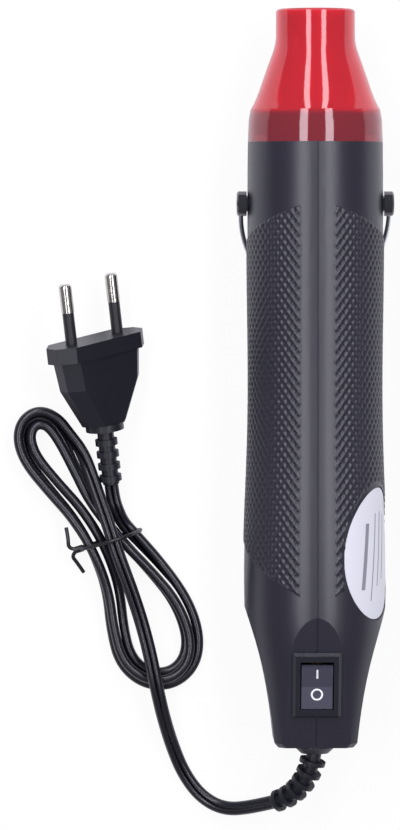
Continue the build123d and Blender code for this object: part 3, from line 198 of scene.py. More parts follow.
@dataclass(frozen=True)
class Moulded:
    """Moulded, extruded or pressed material with a fine grain from its tool."""

    colour: str
    shade: str
    roughness: float
    roughness_spread: float = 0.06
    grain_mm: float = 0.4
    grain_depth_mm: float = 0.01
    metallic: float = 0.0
    coat: float = 0.0
    coat_roughness: float = 0.1
    ior: float = 1.5
    cloud_mm: float = 18.0
    stretch: tuple[float, float, float] = (1.0, 1.0, 1.0)

    def build(self, name: str) -> bpy.types.Material:
        """Makes the material.

        Args:
            name: The material's name.

        Returns:
            The new material.
        """
        material = bpy.data.materials.new(name)
        tree = start_tree(material)
        place = add_node(tree, "ShaderNodeTexCoord")
        sized = add_node(
            tree, "ShaderNodeMapping", {"Scale": self.stretch}, {"Vector": place.outputs["Object"]},
        )
        grain = add_node(
            tree, "ShaderNodeTexNoise",
            {"Scale": 1 / (self.grain_mm * MM), "Detail": GRAIN_DETAIL, "Roughness": GRAIN_ROUGHNESS},
            {"Vector": sized.outputs[0]},
        )
        tint, _ = add_tint(tree, self.colour, self.shade, self.cloud_mm, sized.outputs[0])
        low, high = (self.roughness + side * self.roughness_spread for side in (-1, 1))
        rough = add_node(
            tree, "ShaderNodeMapRange", {"To Min": low, "To Max": high}, {"Value": grain.outputs["Fac"]},
        )
        bump = add_node(
            tree, "ShaderNodeBump", {"Strength": 1.0, "Distance": self.grain_depth_mm * MM},
            {"Height": grain.outputs["Fac"]},
        )
        shader = add_node(
            tree, "ShaderNodeBsdfPrincipled",
            {
                "Metallic": self.metallic, "IOR": self.ior, "Coat Weight": self.coat,
                "Coat Roughness": self.coat_roughness,
            },
            {"Base Color": tint, "Roughness": rough.outputs[0], "Normal": bump.outputs[0]},
        )
        add_node(tree, "ShaderNodeOutputMaterial", None, {"Surface": shader.outputs[0]})
        return material


@dataclass(frozen=True)
class RedPolycarbonate:
    """Clear red polycarbonate from a polished tool.

    Light goes into it and comes back redder, under a gloss skin. Over the black neck, towards the tail from a
    set place along the axis, a darker red is painted into the colour as painted shade for the neck seen
    through the wall.
    """

    colour: str = "F23446"
    shade: str = "E62C3C"
    # Painted shade: a darker red for the part of the wall that lies over the black neck.
    painted_neck_shade: str = "AA3846"
    roughness: float = 0.05
    clear_share: float = 0.62
    ior: float = 1.58
    cloud_mm: float = 9.0
    flow_strength: float = 0.4
    flow_depth_mm: float = 0.02
    painted_shade_top_mm: float = 83.0
    painted_shade_fade_mm: float = 1.5

    def build(self, name: str) -> bpy.types.Material:
        """Makes the material.

        Args:
            name: The material's name.

        Returns:
            The new material.
        """
        material = bpy.data.materials.new(name)
        tree = start_tree(material)
        place = add_node(tree, "ShaderNodeTexCoord")
        tint, cloud = add_tint(tree, self.colour, self.shade, self.cloud_mm, place.outputs["Object"])
        flow = add_node(
            tree, "ShaderNodeBump", {"Strength": self.flow_strength, "Distance": self.flow_depth_mm * MM},
            {"Height": cloud},
        )
        parts = add_node(tree, "ShaderNodeSeparateXYZ", None, {0: place.outputs["Object"]})
        # Painted shade: the red darkens towards the tail from a set place along the axis, where the black neck
        # lies behind the wall.
        painted_shade_share = add_node(
            tree, "ShaderNodeMapRange",
            {"From Min": self.painted_shade_top_mm * MM, "From Max": (self.painted_shade_top_mm - self.painted_shade_fade_mm) * MM},
            {"Value": parts.outputs[1]},
        )
        shaded_tint = add_node(
            tree, "ShaderNodeMix", {"data_type": "RGBA", 7: linear(self.painted_neck_shade)}, {0: painted_shade_share.outputs[0], 6: tint},
        )
        shader = add_node(
            tree, "ShaderNodeBsdfPrincipled",
            {"Roughness": self.roughness, "IOR": self.ior, "Transmission Weight": self.clear_share},
            {"Base Color": shaded_tint.outputs[2], "Normal": flow.outputs[0]},
        )
        add_node(tree, "ShaderNodeOutputMaterial", None, {"Surface": shader.outputs[0]})
        return material


FINISHES = {
    # ABS has a soft sheen from its etched tool, and the blue cast of carbon black.
    Finish.SHELL: Moulded("201F2C", "1B1A26", 0.36, 0.05, 0.35, 0.008, ior=1.54),
    # Polycarbonate is clear and hard, so its streaks of light are sharp.
    Finish.GUARD: RedPolycarbonate(),
    # Bright chrome over drawn wire mirrors the room.
    Finish.CHROME: Moulded("D6D7DB", "C9CACF", 0.10, 0.03, 0.8, 0.002, metallic=1.0),
    # Knobs come from a polished tool.
    Finish.KNOB: Moulded("1C1C23", "17171D", 0.10, 0.03, 0.6, 0.003, coat=1.0),
    # Nylon bezel, blacker than the body and a little glossier on its bevels.
    Finish.BEZEL: Moulded("1D1E27", "191A22", 0.26, 0.05, 0.4, 0.006),
    # Spark eroded tool skin gives the rocker a grey mat grain.
    Finish.ROCKER: Moulded("444453", "3C3C4A", 0.46, 0.08, 0.35, 0.05),
    # Pad printed enamel ink, slightly proud and flat.
    Finish.MARK: Moulded("F2F2F2", "E6E6E6", 0.45, 0.05, 0.5, 0.004),
    # Coated vinyl label, white with a faint sheen.
    Finish.LABEL: Moulded("D9D9E0", "D0D0D8", 0.35, 0.05, 0.8, 0.004),
    # Screen printed grey rules without words.
    Finish.RULE: Moulded("8B8B95", "7E7E88", 0.45, 0.05, 0.5, 0.003),
    # Soft PVC sheath, drawn out lengthways with a low sheen.
    Finish.CORD: Moulded("171720", "12121A", 0.30, 0.07, 0.6, 0.012),
    # Plug and strain relief are moulded in the same PVC, a little duller.
    Finish.PLUG: Moulded("181823", "13131C", 0.40, 0.07, 0.4, 0.015),
    Finish.TIE: Moulded("17171C", "121216", 0.38, 0.06, 0.5, 0.01),
    # Nickel is warmer than chrome and shows fine rubbing from sockets.
    Finish.PIN: Moulded("C9C6C0", "B9B5AE", 0.18, 0.06, 0.3, 0.004, metallic=1.0),
    Finish.SLEEVE: Moulded("1C1C22", "16161B", 0.42, 0.05, 0.4, 0.008),
    # Stainless tube, tinted straw by the heat.
    Finish.TUBE: Moulded("A59B8C", "8C8274", 0.28, 0.08, 0.5, 0.004, metallic=1.0, stretch=(1, 0.15, 1)),
    Finish.STEEL: Moulded("B4B6BA", "A2A4A8", 0.32, 0.08, 0.4, 0.006, metallic=1.0),
    Finish.BRASS: Moulded("C9A24F", "B58E40", 0.30, 0.06, 0.5, 0.005, metallic=1.0),
    # Mica flakes give a layered, pearly brown sheet.
    Finish.MICA: Moulded("A58F6E", "8B7656", 0.38, 0.12, 1.2, 0.02, coat=0.2),
    Finish.COIL: Moulded("6F6863", "59534F", 0.40, 0.08, 0.3, 0.004, metallic=1.0),
    Finish.CERAMIC: Moulded("E4DFD4", "D6D0C3", 0.70, 0.08, 0.3, 0.03),
    Finish.IRON: Moulded("4A4A4C", "3A3A3C", 0.45, 0.08, 0.5, 0.02, metallic=1.0),
    Finish.NYLON: Moulded("55555B", "4A4A50", 0.50, 0.06, 0.5, 0.01),
    Finish.BOARD: Moulded("9C7B45", "866836", 0.50, 0.08, 0.8, 0.01),
    Finish.DIODE: Moulded("202024", "18181B", 0.40, 0.06, 0.4, 0.008),
}

NODE_FINISHES = {
    Finish.SHELL: ("shell_left", "shell_right"),
    Finish.GUARD: ("nozzle_guard",),
    Finish.CHROME: ("bail_wire",),
    Finish.KNOB: ("pivot_stud_left", "pivot_stud_right"),
    Finish.BEZEL: ("switch_housing",),
    Finish.ROCKER: ("switch_rocker",),
    Finish.LABEL: ("rating_label",),
    Finish.CORD: ("cord_lead", "cord_hank", "cord_tail", "internal_wires"),
    Finish.PLUG: ("cord_boot", "plug_body"),
    Finish.TIE: ("twist_tie",),
    Finish.PIN: ("plug_pins",),
    Finish.SLEEVE: ("pin_sleeves",),
    Finish.TUBE: ("outlet_tube",),
    Finish.STEEL: (
        "shell_screws", "stud_clips", "motor_case", "motor_shaft", "motor_screws", "clamp_screws",
        "thermostat", "thermal_fuse",
    ),
    Finish.BRASS: ("switch_contact", "switch_terminals", "motor_terminals"),
    Finish.MICA: ("heater_frame", "mica_sleeve"),
    Finish.COIL: ("heater_coil",),
    Finish.CERAMIC: ("heat_ring",),
    Finish.IRON: ("motor_magnets", "motor_armature"),
    Finish.NYLON: ("motor_endcap", "fan_impeller", "motor_mount", "air_funnel", "cord_clamp"),
    Finish.BOARD: ("rectifier_board",),
    Finish.DIODE: ("diodes",),
}


class Finishes:
    """The made materials, each made once."""

    def __init__(self) -> None:
        """Starts with none made."""
        self.made: dict[Finish, bpy.types.Material] = {}

    def get(self, finish: Finish) -> bpy.types.Material:
        """Gives the material of a finish, and makes it the first time.

        Args:
            finish: The finish.

        Returns:
            Its material.
        """
        if finish not in self.made:
            self.made[finish] = FINISHES[finish].build(finish.value)
        return self.made[finish]

    def dress(self, piece: bpy.types.Object, finish: Finish) -> None:
        """Puts one finish on a piece.

        Args:
            piece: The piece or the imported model's node.
            finish: Its finish.
        """
        material = self.get(finish)
        if piece.material_slots:
            for slot in piece.material_slots:
                slot.link = "OBJECT"
                slot.material = material
        else:
            piece.data.materials.append(material)


def make_piece(name: str, verts: list, faces: list) -> bpy.types.Object:
    """Makes a smooth mesh piece and links it to the scene.

    Args:
        name: The piece's name.
        verts: Points in metres.
        faces: Tuples of point numbers.

    Returns:
        The new object.
    """
    mesh = bpy.data.meshes.new(name)
    mesh.from_pydata([tuple(v) for v in verts], [], faces)
    mesh.validate()
    mesh.update()
    mesh.polygons.foreach_set("use_smooth", [True] * len(mesh.polygons))
    piece = bpy.data.objects.new(name, mesh)
    bpy.context.scene.collection.objects.link(piece)
    return piece


def strip_faces(steps: int) -> list[tuple[int, int, int, int]]:
    """Gives the faces of a strip whose points come in pairs.

    Args:
        steps: How many faces the strip has.

    Returns:
        The faces.
    """
    return [(2 * i, 2 * i + 1, 2 * i + 3, 2 * i + 2) for i in range(steps)]


def soft_step(value: float) -> float:
    """Eases a value from 0 to 1, and holds it there beyond both.

    Args:
        value: The value.

    Returns:
        The eased value.
    """
    share = min(max(value, 0.0), 1.0)
    return share * share * (3 - 2 * share)


def find_skin(node: str, turn: float, along_mm: float, radius_mm: float) -> tuple[Vector, Vector]:
    """Looks from outside toward the tool's axis for a node's skin.

    Args:
        node: The node's name.
        turn: The angle round the axis from straight up, positive to the right.
        along_mm: The place along the axis.
        radius_mm: The radius to take where nothing is found.

    Returns:
        The point on the skin and the skin's normal there.
    """
    out = Vector((math.sin(turn), 0, math.cos(turn)))
    axis = Vector((0, along_mm * MM, AXIS_MM * MM))
    hit, spot, normal, _ = bpy.data.objects[node].ray_cast(axis + out * (SEARCH_MM * MM), -out)
    return (spot, normal) if hit else (axis + out * (radius_mm * MM), out)


def smooth_line(name: str, points: list[Vector]) -> list[Vector]:
    """Reads the smooth line that a route's points control.

    Args:
        name: A name for the passing curve.
        points: The route's points.

    Returns:
        Points along the line.
    """
    data = bpy.data.curves.new(name, "CURVE")
    data.dimensions = "3D"
    data.resolution_u = LINE_STEPS
    spline = data.splines.new("NURBS")
    spline.points.add(len(points) - 1)
    for point, place in zip(spline.points, points):
        point.co = (*place, 1.0)
    spline.order_u = LINE_ORDER
    spline.use_endpoint_u = True
    holder = bpy.data.objects.new(name, data)
    mesh = bpy.data.meshes.new_from_object(holder)
    line = [v.co.copy() for v in mesh.vertices]
    bpy.data.objects.remove(holder)
    bpy.data.curves.remove(data)
    bpy.data.meshes.remove(mesh)
    return line


def aimed(place: Vector, aim: Vector) -> Matrix:
    """Gives the placing of a camera or lamp, with +Y up in its picture.

    Args:
        place: Where it stands.
        aim: What it points at.

    Returns:
        The placing.
    """
    way = (aim - place).normalized()
    right = way.cross(Vector((0, 1, 0))).normalized()
    return Matrix.Translation(place) @ Matrix((right, right.cross(way), -way)).transposed().to_4x4()


@dataclass
class Body:
    """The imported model's nodes: the handle's halves, guard, knobs, bail, label, switch and hidden works."""

    finishes: Finishes
    nodes: dict[str, bpy.types.Object]

    def dress(self) -> None:
        """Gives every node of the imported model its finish."""
        for finish, names in NODE_FINISHES.items():
            for name in names:
                self.finishes.dress(self.nodes[name], finish)
        log.info("dressed %d nodes", len(self.nodes))


@dataclass
class GripNet:
    """The net of raised ridges on both sides of the smooth seam strip, which gives the fingers a hold.

    The net is drawn on the barrel by the distance round it from the front line and the distance along it,
    both in millimetres. It sinks into the shell at its edges and round the label.
    """

    finishes: Finishes
    barrel_radius_mm: float = 20.9
    pitch_mm: float = 1.95
    slant_cos: float = 0.8
    slant_sin: float = 0.6
    cross_height: float = 0.8
    ridge_from: float = 0.12
    ridge_to: float = 0.44
    ridge_mm: float = 0.36
    skin_mm: float = 0.05
    sink_mm: float = 0.08
    edge_mm: float = 0.6
    step_mm: float = 0.34
    strip_half_mm: float = 5.0
    back_mm: float = 36.5
    top_mm: float = 56.0
    top_slope: float = 0.40
    low_mm: float = -69.6
    low_slope: float = 0.58
    probe_deg: float = -50.0
    label_around_mm: float = 21.9
    label_half_mm: tuple[float, float] = (14.0, 21.7)

    def radius(self, along: float) -> float:
        """Finds the barrel's radius at a place along it.

        Args:
            along: The place.

        Returns:
            The radius in millimetres.
        """
        spot, _ = find_skin("shell_left", math.radians(self.probe_deg), along, self.barrel_radius_mm)
        return (spot - Vector((0, along * MM, AXIS_MM * MM))).length / MM

    def ridge(self, around: float, along: float) -> float:
        """Gives the net's height at a place.

        Args:
            around: The place round the barrel.
            along: The place along it.

        Returns:
            The height, from 0 in a pit to 1 on a ridge.
        """
        height = 0.0
        for sign, weight in ((-1, 1.0), (1, self.cross_height)):
            phase = (around * self.slant_cos + sign * along * self.slant_sin) / self.pitch_mm
            wave = abs(phase - round(phase))
            share = (wave - self.ridge_from) / (self.ridge_to - self.ridge_from)
            height = max(height, weight * soft_step(share))
        return height

    def mask(self, side: int, around: float, along: float) -> float:
        """Gives how much of the net there is at a place.

        Args:
            side: -1 for the left shell and 1 for the right one.
            around: The place round the barrel.
            along: The place along it.

        Returns:
            The share, from 0 outside the net's field to 1 within.
        """
        room = min(
            self.top_mm - self.top_slope * around - along,
            along - self.low_mm - self.low_slope * around,
            around - self.strip_half_mm,
            self.back_mm - around,
        )
        if side > 0:
            lean = math.radians(LABEL_LEAN_DEG)
            dx, dy = around - self.label_around_mm, along - LABEL_Y_MM
            wide = (dx * math.cos(lean) - dy * math.sin(lean)) / self.label_half_mm[0]
            long = (dx * math.sin(lean) + dy * math.cos(lean)) / self.label_half_mm[1]
            room = min(room, (math.hypot(wide, long) - 1) * self.label_half_mm[0])
        return soft_step(room / self.edge_mm)

    def half(self, name: str, side: int, radii: list[float], places: list[float]) -> None:
        """Makes the net of one shell.

        Args:
            name: The piece's name.
            side: -1 for the left shell and 1 for the right one.
            radii: The barrel's radius at each place along.
            places: The places along, in millimetres.
        """
        # A column more at each edge lets the net sink into the shell there.
        columns = int((self.back_mm - self.strip_half_mm) / self.step_mm) + 3
        verts, shares = [], []
        for radius, along in zip(radii, places):
            for column in range(columns):
                around = self.strip_half_mm + (column - 1) * self.step_mm
                share = self.mask(side, around, along)
                height = self.skin_mm + self.sink_mm + self.ridge_mm * self.ridge(around, along)
                reach = (radius + share * height - self.sink_mm) * MM
                turn = around / self.barrel_radius_mm
                x, z = side * math.sin(turn) * reach, AXIS_MM * MM + math.cos(turn) * reach
                verts.append((x, along * MM, z))
                shares.append(share)
        faces = []
        for row in range(len(places) - 1):
            for column in range(columns - 1):
                first = row * columns + column
                face = (first, first + 1, first + columns + 1, first + columns)
                if max(shares[k] for k in face) > 0:
                    faces.append(face if side > 0 else face[::-1])
        used = sorted({k for face in faces for k in face})
        number = {old: new for new, old in enumerate(used)}
        piece = make_piece(name, [verts[k] for k in used], [tuple(number[k] for k in face) for face in faces])
        self.finishes.dress(piece, Finish.SHELL)
        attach(piece, "handle")
        log.info("made %s of %d faces", name, len(faces))

    def build(self) -> None:
        """Makes both halves of the net."""
        count = int((self.top_mm - self.low_mm) / self.step_mm) + 1
        places = [self.low_mm + k * self.step_mm for k in range(count)]
        radii = [self.radius(along) for along in places]
        self.half("grip_left", -1, radii, places)
        self.half("grip_right", 1, radii, places)


@dataclass
class SwitchMarks:
    """The printed on and off marks of the rocker, which lie on its two slopes."""

    finishes: Finishes
    centre_y_mm: float = -93.7
    line_length_mm: float = 2.9
    line_width_mm: float = 0.6
    line_steps: int = 4
    ring_radius_mm: float = 1.6
    ring_width_mm: float = 0.55
    ring_steps: int = 48
    on_place_mm: float = 3.5
    off_place_mm: float = -3.1
    lift_mm: float = 0.05
    search_from: float = 0.2

    def surface(self, x: float, y: float) -> Vector:
        """Finds the rocker's skin above a place.

        Args:
            x: Place across, in metres.
            y: Place along, in metres.

        Returns:
            The point on the skin, lifted by the ink's thickness.
        """
        rocker = bpy.data.objects["switch_rocker"]
        hit, spot, normal, _ = rocker.ray_cast(Vector((x, y, self.search_from)), Vector((0, 0, -1)))
        if not hit:
            return Vector((x, y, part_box("switch_rocker")[1][2]))
        return spot + normal * (self.lift_mm * MM)

    def strip(self, name: str, rows: list[tuple]) -> bpy.types.Object:
        """Makes one mark from rows of places across and along.

        Args:
            name: The piece's name.
            rows: Pairs of places in millimetres, each pair one step of the mark.

        Returns:
            The mark.
        """
        verts = [self.surface(x * MM, (self.centre_y_mm + y) * MM) for row in rows for x, y in row]
        return make_piece(name, verts, strip_faces(len(rows) - 1))

    def build(self) -> None:
        """Makes both marks, which ride on the rocker."""
        half, wide = self.line_length_mm / 2, self.line_width_mm / 2
        stops = [self.on_place_mm + (2 * k / self.line_steps - 1) * half for k in range(self.line_steps + 1)]
        line = [((-wide, stop), (wide, stop)) for stop in stops]
        edges = [self.ring_radius_mm + side * self.ring_width_mm / 2 for side in (-1, 1)]
        turns = [2 * math.pi * k / self.ring_steps for k in range(self.ring_steps + 1)]
        ring = [
            tuple((edge * math.cos(turn), self.off_place_mm + edge * math.sin(turn)) for edge in edges)
            for turn in turns
        ]
        for mark in (self.strip("mark_on", line), self.strip("mark_off", ring)):
            self.finishes.dress(mark, Finish.MARK)
            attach(mark, "rocker")
            log.info("made %s", mark.name)


@dataclass
class LabelRules:
    """Plain printed rules on the oval label, one broad and three fine, which stand for no words.

    Each rule has its place across the label, its two ends along the label and its width.
    """

    finishes: Finishes
    radius_mm: float = 21.9
    angle_deg: float = 60.0
    lift_mm: float = 0.03
    step_mm: float = 1.0
    rules_mm: tuple = (
        (-6.2, -11.0, 9.5, 1.5),
        (-2.2, -14.5, 12.5, 0.45),
        (0.6, -10.0, 13.0, 0.45),
        (3.4, -8.0, 12.0, 0.45),
    )

    def surface(self, around: float, along: float) -> Vector:
        """Finds the label's skin.

        Args:
            around: Place round the barrel from the label's middle, in millimetres.
            along: Place along the label, in millimetres.

        Returns:
            The point on the skin, lifted by the ink's thickness.
        """
        lean = math.radians(LABEL_LEAN_DEG)
        turn = math.radians(self.angle_deg) + (around + along * math.sin(lean)) / self.radius_mm
        spot, normal = find_skin("rating_label", turn, LABEL_Y_MM + along * math.cos(lean), self.radius_mm)
        return spot + normal * (self.lift_mm * MM)

    def build(self) -> None:
        """Makes the rules, which ride on the handle."""
        for number, (around, low, high, wide) in enumerate(self.rules_mm, 1):
            count = int((high - low) / self.step_mm)
            rows = [low + (high - low) * k / count for k in range(count + 1)]
            verts = [self.surface(around + side * wide / 2, along) for along in rows for side in (-1, 1)]
            rule = make_piece(f"label_rule_{number}", verts, strip_faces(count))
            self.finishes.dress(rule, Finish.RULE)
            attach(rule, "handle")
        log.info("made %d label rules", len(self.rules_mm))


@dataclass
class Cord:
    """The flat twin cord: from the strain relief along the table, into the tied hank and up to the plug.

    Two round cores lie side by side in one sheath. It lies flat, and stands on edge in the hank, as the
    photograph shows.
    """

    finishes: Finishes
    core_radius_mm: float = 1.5
    core_offset_mm: float = 0.7
    core_steps: int = 10
    boot_radius_mm: float = 19.7
    boot_bend_deg: float = 74.3
    boot_drop_deg: float = 33.7
    boot_root_mm: tuple[float, float, float] = (0.0, -114.0, AXIS_MM)
    first_run_mm: float = 9.0
    last_run_mm: float = 5.0
    tail_first_mm: float = 4.2
    tail_last_mm: float = 4.2
    layer_mm: float = 1.7
    rise_mm: float = 3.85
    climb_points: int = 3
    pitch_mm: float = 4.05
    lift_mm: float = 2.0
    turns: int = 3
    start: int = 3
    waist_left: int = 11
    edge_before_points: int = 3
    edge_after_points: int = 1
    edge_rise_share: float = 0.05
    edge_fall_share: float = 0.03
    lead_mm: tuple = (
        (-27.8, -136.7, 4.5), (-35.1, -133.0, 2.1), (-40.6, -125.6, 1.8), (-44.2, -116.6, 3.8),
        (-47.0, -107.1, 7.6), (-49.2, -97.3, 10.3), (-51.2, -87.0, 10.3), (-53.9, -76.6, 10.1),
        (-57.4, -66.0, 11.2), (-61.3, -55.6, 12.2), (-64.4, -45.6, 11.3), (-67.9, -36.0, 9.2),
        (-71.0, -27.0, 6.9),
    )
    loop_mm: tuple = (
        (-56.9, -49.2), (-66.0, -38.2), (-71.3, -27.0), (-75.6, -18.2), (-79.9, -11.8), (-86.6, -9.4),
        (-92.6, -13.2), (-94.3, -20.2), (-91.6, -28.2), (-84.6, -37.0), (-76.8, -46.0), (-70.6, -56.2),
        (-66.4, -68.0), (-65.0, -80.4), (-62.0, -91.6), (-53.6, -98.6), (-43.2, -98.6), (-35.8, -91.6),
        (-34.8, -81.0), (-39.6, -68.8), (-48.0, -58.6),
    )
    tail_middle_mm: tuple[float, float, float] = (-61.7, -41.6, 6.6)
    plug_face_mm: tuple[float, float, float] = (-68.45, 12.1, 14.18)
    plug_axis: tuple[float, float, float] = (-0.110245, 0.982852, 0.147809)
    plug_depth_mm: float = 46.5

    def boot_end(self) -> tuple[Vector, Vector]:
        """Finds the end of the bent strain relief.

        Returns:
            Where the cord leaves it, in millimetres, and the way the cord goes.
        """
        drop, bend = math.radians(self.boot_drop_deg), math.radians(self.boot_bend_deg)
        side = Vector((-math.cos(drop), 0, -math.sin(drop)))
        out = Vector((0, -1, 0))
        place = Vector(self.boot_root_mm) + out * (self.boot_radius_mm * math.sin(bend))
        place += side * (self.boot_radius_mm * (1 - math.cos(bend)))
        return place, out * math.cos(bend) + side * math.sin(bend)

    def hank(self) -> list[Vector]:
        """Lays the hank: loops that spiral in and out again in two layers, drawn in at the waist.

        Returns:
            The hank's points in millimetres.
        """
        loop = [Vector((x, y, 0)) for x, y in self.loop_mm]
        count = len(loop)
        middle = self.turns / 2 * count
        points = []
        for n in range(self.start, self.turns * count + 1):
            j = n % count
            before, here, after = loop[j - 1], loop[j], loop[(j + 1) % count]
            into, out = (here - before).normalized(), (after - here).normalized()
            inward = Vector((-(into.y + out.y), into.x + out.x, 0)).normalized()
            inset = self.pitch_mm * (n if n <= middle else 2 * middle - n) / count
            climb = min(max((middle - n) / self.climb_points + 0.5, 0.0), 1.0)
            lift = self.lift_mm if j in (0, self.waist_left) else 0.0
            height = self.layer_mm + self.rise_mm * climb + lift
            place = here + inward * (inset / math.cos(into.angle(out) / 2))
            points.append(Vector((place.x, place.y, height)))
        return points

    def route(self) -> tuple[list[Vector], int, int]:
        """Joins the lead, the hank and the tail.

        Returns:
            The whole route in metres, and the places of the hank's two ends in it.
        """
        start, heading = self.boot_end()
        hank = self.hank()
        into = (hank[1] - hank[0]).normalized()
        leave = (hank[-1] - hank[-2]).normalized()
        axis = Vector(self.plug_axis)
        end = Vector(self.plug_face_mm) - axis * self.plug_depth_mm
        lead = [start, start + heading * self.first_run_mm, *(Vector(p) for p in self.lead_mm)]
        lead.append(hank[0] - into * self.last_run_mm)
        tail = [
            hank[-1] + leave * self.tail_first_mm, Vector(self.tail_middle_mm), end - axis * self.tail_last_mm,
            end,
        ]
        points = [p * MM for p in (*lead, *hank, *tail)]
        return points, len(lead), len(lead) + len(hank) - 1

    def section(self) -> list[tuple[float, float]]:
        """Gives the sheath's outline: two round cores side by side, joined by a shallow groove.

        Returns:
            Its points, across the flat and through it.
        """
        turn = math.acos(self.core_offset_mm / self.core_radius_mm)
        outline = []
        for side in (1, -1):
            for k in range(self.core_steps + 1):
                angle = -(math.pi - turn) + 2 * (math.pi - turn) * k / self.core_steps
                outline.append((
                    side * (self.core_offset_mm + self.core_radius_mm * math.cos(angle)) * MM,
                    side * self.core_radius_mm * math.sin(angle) * MM,
                ))
        return outline

    def rings(
        self, line: list[Vector], edge_from: float, edge_to: float,
    ) -> tuple[list[Vector], list[Vector]]:
        """Lays the outline round every point of the line, raised where it would go under the table.

        Args:
            line: The smooth line.
            edge_from: The share of the line where the cord starts to turn on edge.
            edge_to: The share of the line where it lies flat again.

        Returns:
            The line as it is laid, and the points of all rings.
        """
        outline = self.section()
        laid, verts = [], []
        for i, place in enumerate(line):
            tangent = (line[min(i + 1, len(line) - 1)] - line[max(i - 1, 0)]).normalized()
            flat = tangent.cross(Vector((0, 0, 1))).normalized()
            up = flat.cross(tangent).normalized()
            share = i / (len(line) - 1)
            rise = min(max((share - edge_from) / self.edge_rise_share, 0.0), 1.0)
            fall = min(max((edge_to - share) / self.edge_fall_share, 0.0), 1.0)
            tilt = math.pi / 2 * min(rise, fall)
            wide = flat * math.cos(tilt) + up * math.sin(tilt)
            thin = up * math.cos(tilt) - flat * math.sin(tilt)
            ring = [wide * a + thin * b for a, b in outline]
            lift = max(0.0, -min(place.z + offset.z for offset in ring))
            laid.append(place + Vector((0, 0, lift)))
            verts += [laid[-1] + offset for offset in ring]
        return laid, verts

    def build(self) -> None:
        points, hank_from, hank_to = self.route()
        line = smooth_line("cord_route", points)
        spans = len(points) - 1
        laid, verts = self.rings(
            line, (hank_from - self.edge_before_points) / spans, (hank_to + self.edge_after_points) / spans,
        )
        count = 2 * (self.core_steps + 1)
        faces = []
        for i in range(len(line) - 1):
            for k in range(count):
                after = (k + 1) % count
                faces.append((i * count + k, i * count + after, (i + 1) * count + after, (i + 1) * count + k))
        faces += [tuple(range(count)), tuple((len(line) - 1) * count + k for k in reversed(range(count)))]
        cord = make_piece("twin_cord", verts, faces)
        self.finishes.dress(cord, Finish.CORD)
        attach(cord, "handle")
        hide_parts("cord_lead", "cord_hank", "cord_tail")


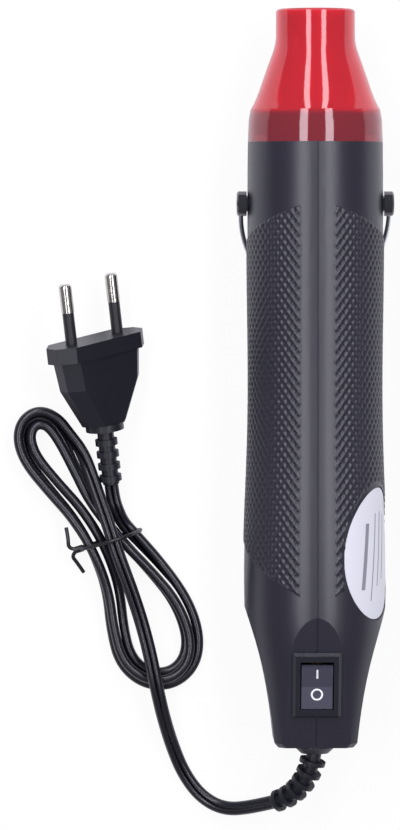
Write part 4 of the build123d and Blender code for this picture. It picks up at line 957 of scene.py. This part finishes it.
@dataclass
class Studio:
    """The white table, the plain lights and the camera at the photograph's place."""

    image_height: int = 830
    pixels_per_mm: float = 3.223
    sensor_mm: float = 24.0
    clip_start: float = 0.01
    aim_mm: tuple[float, float, float] = (-35.7, -11.5, 22.0)
    camera_mm: tuple[float, float, float] = (-56.6, 47.0, 1422.0)
    strip_angle_deg: float = 22.0
    strip_distance: float = 1.0
    strip_width: float = 0.24
    strip_from: float = -0.3
    strip_to: float = 2.2
    strip_power: float = 15.0
    light_colour: tuple[float, float, float] = (0.93, 0.93, 1.0)
    room_strength: float = 0.26
    table_half: float = 3.0
    table_colour: tuple[float, float, float] = (0.86, 0.86, 0.87)
    glow_share: float = 0.92

    def camera(self) -> None:
        """Makes the camera, with the lens that gives the photograph's scale at the aim."""
        data = bpy.data.cameras.new("camera")
        data.sensor_fit = "VERTICAL"
        data.sensor_height = self.sensor_mm
        data.clip_start = self.clip_start
        place, aim = Vector(self.camera_mm) * MM, Vector(self.aim_mm) * MM
        data.lens = data.sensor_height * (place - aim).length / (self.image_height / self.pixels_per_mm * MM)
        camera = bpy.data.objects.new("camera", data)
        camera.matrix_world = aimed(place, aim)
        bpy.context.scene.collection.objects.link(camera)
        bpy.context.scene.camera = camera

    def lamps(self) -> None:
        """Hangs two long strips above the tool, one on each side of it, that reach far past the nozzle."""
        aim = Vector((0, (self.strip_from + self.strip_to) / 2, self.aim_mm[2] * MM))
        for name, side in (("strip_left", -1), ("strip_right", 1)):
            angle = math.radians(self.strip_angle_deg) * side
            place = aim + Vector((math.sin(angle), 0, math.cos(angle))) * self.strip_distance
            data = bpy.data.lights.new(name, "AREA")
            data.shape = "RECTANGLE"
            data.size, data.size_y = self.strip_width, self.strip_to - self.strip_from
            data.energy = self.strip_power
            data.color = self.light_colour
            lamp = bpy.data.objects.new(name, data)
            lamp.matrix_world = aimed(place, aim)
            bpy.context.scene.collection.objects.link(lamp)

    def room(self) -> None:
        """Makes the world: an even white that lights softly, seen as white."""
        world = bpy.data.worlds.new("room")
        bpy.context.scene.world = world
        tree = start_tree(world)
        seen = add_camera_rays(tree)
        light = add_node(
            tree, "ShaderNodeBackground", {"Color": (*self.light_colour, 1), "Strength": self.room_strength},
        )
        white = add_node(tree, "ShaderNodeBackground", {"Color": (1, 1, 1, 1), "Strength": 1.0})
        both = add_node(
            tree, "ShaderNodeMixShader", None, {0: seen, 1: light.outputs[0], 2: white.outputs[0]},
        )
        add_node(tree, "ShaderNodeOutputWorld", None, {"Surface": both.outputs[0]})

    def table(self) -> None:
        """Makes the white table, which glows to the camera so that only a faint shadow stays."""
        half = self.table_half
        corners = [(-half, -half, 0), (half, -half, 0), (half, half, 0), (-half, half, 0)]
        table = make_piece("table", corners, [(0, 1, 2, 3)])
        material = bpy.data.materials.new("white_table")
        tree = start_tree(material)
        seen = add_camera_rays(tree)
        mat = add_node(tree, "ShaderNodeBsdfDiffuse", {"Color": (*self.table_colour, 1)})
        glow = add_node(tree, "ShaderNodeEmission", {"Color": (1, 1, 1, 1), "Strength": 1.0})
        share = add_node(tree, "ShaderNodeMath", {"operation": "MULTIPLY", 1: self.glow_share}, {0: seen})
        both = add_node(
            tree, "ShaderNodeMixShader", None, {0: share.outputs[0], 1: mat.outputs[0], 2: glow.outputs[0]},
        )
        add_node(tree, "ShaderNodeOutputMaterial", None, {"Surface": both.outputs[0]})
        table.data.materials.append(material)

    def build(self) -> None:
        """Sets up the whole studio."""
        self.camera()
        self.lamps()
        self.room()
        self.table()
        log.info("set up the studio")


def main() -> None:
    """Builds the tool's looks in order."""
    logging.basicConfig(level=logging.INFO, format="%(name)s: %(message)s")
    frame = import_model()
    scene = bpy.context.scene
    scene.view_settings.view_transform = "Standard"
    finishes = Finishes()
    Studio().build()
    Body(finishes, frame["nodes"]).dress()
    Cord(finishes).build()
    GripNet(finishes).build()
    SwitchMarks(finishes).build()
    LabelRules(finishes).build()
    bpy.context.view_layer.update()


if __name__ == "__main__":
    main()
